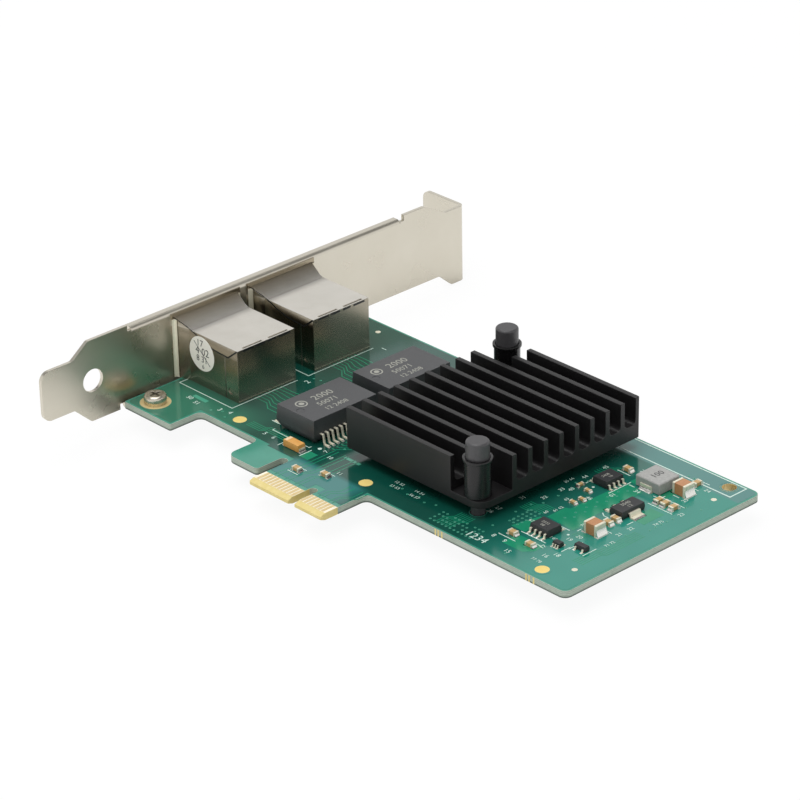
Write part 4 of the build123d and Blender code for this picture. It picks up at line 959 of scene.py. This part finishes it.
# The sheet is rolled over the top of the sides, and bent softly at the foot of the ramp. The
# side's relief falls with the square of the height, and the ramp's with that of the distance.
along = add_node(tree, "ShaderNodeSeparateXYZ", {}, {0: place})
rise = add_node(
    tree, "ShaderNodeMapRange", {"From Min": 0.0096, "From Max": 0.012, "To Max": 0.0024},
    {0: along.outputs[2]},
)
rolled_over = add_node(
    tree, "ShaderNodeMath", {"operation": "MULTIPLY"}, {0: rise.outputs[0], 1: rise.outputs[0]},
)
on_side = add_node(
    tree, "ShaderNodeMath", {"operation": "LESS_THAN", 1: spot(17.9, 0, 0).x}, {0: along.outputs[0]},
)
side_relief = add_node(
    tree, "ShaderNodeMath", {"operation": "MULTIPLY"}, {0: rolled_over.outputs[0], 1: on_side.outputs[0]},
)
side_relief = add_node(
    tree, "ShaderNodeMath", {"operation": "MULTIPLY", 1: -120.0}, {0: side_relief.outputs[0]},
)
from_foot = add_node(
    tree, "ShaderNodeMath", {"operation": "SUBTRACT", 1: spot(RAMP_FOOT_X, 0, 0).x}, {0: along.outputs[0]},
)
from_foot = add_node(tree, "ShaderNodeMath", {"operation": "ABSOLUTE"}, {0: from_foot.outputs[0]})
bend = add_node(
    tree, "ShaderNodeMapRange", {"From Min": 0.0, "From Max": 0.0024, "To Min": 0.0024, "To Max": 0.0},
    {0: from_foot.outputs[0]},
)
bend = add_node(tree, "ShaderNodeMath", {"operation": "MULTIPLY"}, {0: bend.outputs[0], 1: bend.outputs[0]})
on_top = add_node(tree, "ShaderNodeMath", {"operation": "GREATER_THAN", 1: 0.01195}, {0: along.outputs[2]})
ramp_relief = add_node(
    tree, "ShaderNodeMath", {"operation": "MULTIPLY"}, {0: bend.outputs[0], 1: on_top.outputs[0]},
)
ramp_relief = add_node(
    tree, "ShaderNodeMath", {"operation": "MULTIPLY", 1: 42.0}, {0: ramp_relief.outputs[0]},
)
form = add_node(
    tree, "ShaderNodeMath", {"operation": "ADD"}, {0: side_relief.outputs[0], 1: ramp_relief.outputs[0]},
)
folds = add_node(tree, "ShaderNodeBump", {"Strength": 1.0, "Distance": 1.0}, {"Height": form.outputs[0]})
tree.links.new(folds.outputs[0], shader.inputs["Normal"])
# The sides and the upper part of the ramp are painted darker than the top: painted shade.
up_ramp = add_node(
    tree, "ShaderNodeMapRange", {"From Min": 0.0121, "From Max": 0.0137}, {0: along.outputs[2]},
)
ramp_painted_shade = add_node(
    tree, "ShaderNodeMix", {"data_type": "RGBA", 7: linear("#9C927F")},
    {0: up_ramp.outputs[0], 6: tone.outputs[2]},
)
shell_painted_shade = add_node(
    tree, "ShaderNodeMix", {"data_type": "RGBA", 6: linear("#A0998A")},
    {0: on_top.outputs[0], 7: ramp_painted_shade.outputs[2]},
)
tree.links.new(shell_painted_shade.outputs[2], shader.inputs["Base Color"])

# Polyester moulding: black, even, with a soft gloss.
jack_moulding = mottled_material("black_polyester", {"Roughness": 0.38}, 1.5, 4.0, "#141414", "#1F1F1F")

DIMPLE_PLACE = (15.5, 2.1)
DIMPLE_REACH = 0.9
SPREAD = 0.9
SPREAD_FOOT_X = 2.6
SEAM_DEPTH = 0.15
for number, low_y in enumerate(JACK_LOW_Y, 1):
    shell = finished_copy(f"jack_shield_{number}", f"jack_shell_{number}", 0.02, 1, 12)
    shell.data.materials.append(tin_plate)
    shell.data.materials.append(jack_moulding)
    # The bottoms and walls of the seams are painted with the black moulding: painted shade in the gaps
    # between the folded edges.
    middle_y = low_y + JACK_WIDTH / 2
    for face in shell.data.polygons:
        x = face.center.x * 1000 + KEY_NOTCH_X
        side_y = JACK_WIDTH / 2 + SPREAD * max(0, SPREAD_FOOT_X - x) / (SPREAD_FOOT_X - PLATE_X)
        depth = side_y - abs(face.center.y * 1000 - middle_y)
        dimple = math.dist((x, face.center.z * 1000), DIMPLE_PLACE) < DIMPLE_REACH
        if x > PLATE_X + 0.35 and 0.03 < depth < SEAM_DEPTH + 0.02 and face.center.z > 0.0094 and not dimple:
            face.material_index = 1
    housing = finished_copy(f"jack_housing_{number}", f"jack_moulding_{number}", 0.06)
    housing.data.materials.append(jack_moulding)
    wires = finished_copy(f"jack_contacts_{number}", f"jack_spring_wires_{number}", 0.03)
    wires.data.materials.append(gold_plate)

# The shadows in the open seam along the side that faces the edge connector, and in the gaps
# along the top of the rear.
rear_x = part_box("jack_shield_1")[1][0]
gap_pieces = []
for low_y in JACK_LOW_Y:
    points = [(3.3, 11.95), (4.6, 11.6), (5.9, 11.0), (9.95, 9.9), (15.0, 9.6), (17.9, 11.9)]
    strip = flat_piece("seam_gap", [ribbon(points, 0.34)], 0, 0.01)
    stand_up(strip, low_y / 1000)
    gap_pieces.append(strip)
    for start, end in ((1.5, 4.4), (5.0, 7.6), (8.4, 10.6), (11.4, 14.6)):
        outline = panel(low_y + start, low_y + end, 11.4, 11.88)
        strip = flat_piece("rear_gap", [outline], 0, 0.01)
        for vertex in strip.data.vertices:
            y, z, depth = vertex.co
            vertex.co = (rear_x + depth, y + KEY_NOTCH_X / 1000, z)
        gap_pieces.append(strip)
seams = join(gap_pieces, "jack_seam_gaps")
repaint(seams, jack_moulding)

# Where the sides turn outward into the flare they are rounded, and catch the light.
BEND_RADIUS = 0.75
BEND_FOOT_X = -0.9
FLARE_WALL = 0.83
bend_loops = []
for low_y in JACK_LOW_Y:
    for wall_y, out in ((low_y - FLARE_WALL, -1), (low_y + JACK_WIDTH + FLARE_WALL, 1)):
        arc = [(math.sin(a), math.cos(a)) for a in (math.radians(15 * i) for i in range(7))]
        outer = [
            (BEND_FOOT_X + BEND_RADIUS * (1 - c), wall_y + out * BEND_RADIUS * (1 - s)) for s, c in arc
        ]
        bend_loops.append([(BEND_FOOT_X - 0.05, wall_y - out * 0.05)] + outer)
flare_bends = flat_piece("jack_flare_bends", bend_loops, 0.1, 13.4)
pick(flare_bends)
bpy.ops.object.shade_smooth_by_angle(angle=math.radians(30))
flare_bends.data.materials.append(matt_tin)

# ---- Inspection sticker ----------------------------------------------------------------------
# A round paper sticker on the first jack's side, printed with plain rows of numbers.

sticker = finished_copy("inspection_sticker", "round_paper_sticker", 0.01)
paper = mottled_material("coated_label_paper", {"Roughness": 0.6}, 0.4, 5.0, "#E9E6DC", "#F6F3EA")
sticker.data.materials.append(paper)

STICKER_FACE_Y = 20.13
sticker_rows = [
    ("17", -0.5, 2.3, 1.5), ("4 02", 0.2, 0.5, 1.7), ("8 31", 0.0, -1.3, 1.4), ("6", 0.3, -2.9, 1.0),
]
sticker_marks = [
    printed(text, spot(6.6 + dx, STICKER_FACE_Y, 7.6 + dz), size, 0, True)
    for text, dx, dz, size in sticker_rows
]
stroke = ribbon([(4.2, 10.0), (6.6, 7.8), (9.2, 5.4)], 0.16)
pen_stroke = flat_piece("pen_stroke", [stroke], 0, 0.01)
stand_up(pen_stroke, STICKER_FACE_Y / 1000)
sticker_marks.append(pen_stroke)
sticker_print = join(sticker_marks, "sticker_numbers")
sticker_ink = mottled_material("black_label_ink", {"Roughness": 0.6}, 0.6, 2.0, "#232321", "#4E4E4A")
repaint(sticker_print, sticker_ink)

# ---- Bracket and screws ----------------------------------------------------------------------
# Cold-rolled steel sheet, blanked, folded and bright nickel plated. Two pan-head screws hold
# the board on the bracket's tabs.

bracket = finished_copy("io_bracket", "nickel_bracket", 0.05, 1, 20)
nickel_plate, tree, shader, place = start_material("nickel_plated_steel", {"Metallic": 1.0})
cloud = mottle_colour(tree, shader, place, 11, 4.0, "#C4BEAF", "#D3CEC1")
vary_roughness(tree, shader, cloud, 0.2, 0.38)
bracket.data.materials.append(nickel_plate)

screws = finished_copy("bracket_screws", "pan_head_screws", 0.08, 2, 40)
screw_plate, tree, shader, place = start_material("plated_screw_steel", {"Metallic": 1.0})
wear = mottle_colour(tree, shader, place, 0.8, 3.0, "#BDB7A8", "#D5CFC1")
vary_roughness(tree, shader, wear, 0.2, 0.35)
screws.data.materials.append(screw_plate)
# The walls and floor of the cross recess are painted dark: painted shade in the recess.
recess_painted_shade = mottled_material(
    "cross_recess_painted_shade", {"Metallic": 1.0, "Roughness": 0.5}, 0.8, 3.0, "#837E70", "#9F9A8B",
)
screws.data.materials.append(recess_painted_shade)
RECESS_REACH = 0.00135
RECESS_DEPTH = 0.0008
head_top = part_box("bracket_screws")[1][2]
for face in screws.data.polygons:
    off_axis = min(math.dist(face.center.xy, spot(5.0, y, 0).xy) for y in (8.5, 62.2))
    below_top = head_top - face.center.z
    wall = abs(face.normal.z) < 0.2 and below_top < RECESS_DEPTH + 0.0001
    floor = face.normal.z > 0.9 and abs(below_top - RECESS_DEPTH) < 0.0001
    if off_axis < RECESS_REACH and (wall or floor):
        face.material_index = 1

# ---- Table, light and view -------------------------------------------------------------------
# A plain white table in a white room with one large soft lamp above. The camera stands where
# the photograph was taken, with a long lens.

low_corner = Vector(solid_box[0])
bpy.ops.object.select_all(action="DESELECT")
bpy.ops.mesh.primitive_plane_add(size=6, location=(0, 0, low_corner.z - 0.0002))
table = bpy.context.object
table.name = "white_table"
white_table, tree, shader, place = start_material(
    "white_table", {"Roughness": 1.0, "Specular IOR Level": 0.0},
)
shader.inputs["Base Color"].default_value = linear("#F6F6F6")
output = tree.nodes["Material Output"]
ray = add_node(tree, "ShaderNodeLightPath")
glow = add_node(tree, "ShaderNodeEmission", {"Color": (1.0, 1.0, 1.0, 1.0), "Strength": 1.0})
share = add_node(
    tree, "ShaderNodeMath", {"operation": "MULTIPLY", 1: 0.93}, {0: ray.outputs["Is Camera Ray"]},
)
seen = add_node(
    tree, "ShaderNodeMixShader", {}, {0: share.outputs[0], 1: shader.outputs[0], 2: glow.outputs[0]},
)
tree.links.new(seen.outputs[0], output.inputs["Surface"])
table.data.materials.append(white_table)

world = bpy.data.worlds.new("white_room")
bpy.context.scene.world = world
world.use_nodes = True
tree = world.node_tree
backdrop = tree.nodes["Background"]
ray = add_node(tree, "ShaderNodeLightPath")
direction = add_node(tree, "ShaderNodeTexCoord")
height = add_node(tree, "ShaderNodeSeparateXYZ", {}, {0: direction.outputs["Generated"]})
# The walls are bright to about 40 degrees above the table, and the ceiling is darker.
ceiling = add_node(
    tree, "ShaderNodeMapRange",
    {"From Min": 0.5, "From Max": 0.7, "To Min": 1.0, "To Max": 0.21}, {"Value": height.outputs[2]},
)
mirrored = add_node(tree, "ShaderNodeMath", {"operation": "MAXIMUM"}, {
    0: ray.outputs["Is Glossy Ray"], 1: ray.outputs["Is Transmission Ray"],
})
walls = add_node(tree, "ShaderNodeMix", {"data_type": "FLOAT", 2: 0.62}, {
    0: mirrored.outputs[0], 3: ceiling.outputs[0],
})
strength = add_node(tree, "ShaderNodeMix", {"data_type": "FLOAT", 3: 1.0}, {
    0: ray.outputs["Is Camera Ray"], 2: walls.outputs[0],
})
tree.links.new(strength.outputs[0], backdrop.inputs["Strength"])
backdrop.inputs["Color"].default_value = (1.0, 1.0, 1.0, 1.0)

bpy.ops.object.light_add(type="AREA", location=(-0.1, -0.05, 0.75))
lamp = bpy.context.object
lamp.name = "overhead_softbox"
lamp.data.shape = "RECTANGLE"
lamp.data.size = 0.9
lamp.data.size_y = 0.5
lamp.data.energy = 4.5
lamp.rotation_euler = (Vector((0, 0.03, 0)) - lamp.location).to_track_quat("-Z", "Y").to_euler()

bpy.ops.object.camera_add(
    location=(0.467495, -0.402970, 0.336106),
    rotation=(math.radians(62.98877), math.radians(0.94098), math.radians(46.73415)),
)
camera = bpy.context.object
camera.data.sensor_width = 36
camera.data.lens = 160.652
camera.data.clip_start = 0.01
bpy.context.scene.camera = camera
bpy.context.scene.view_settings.view_transform = "Standard"
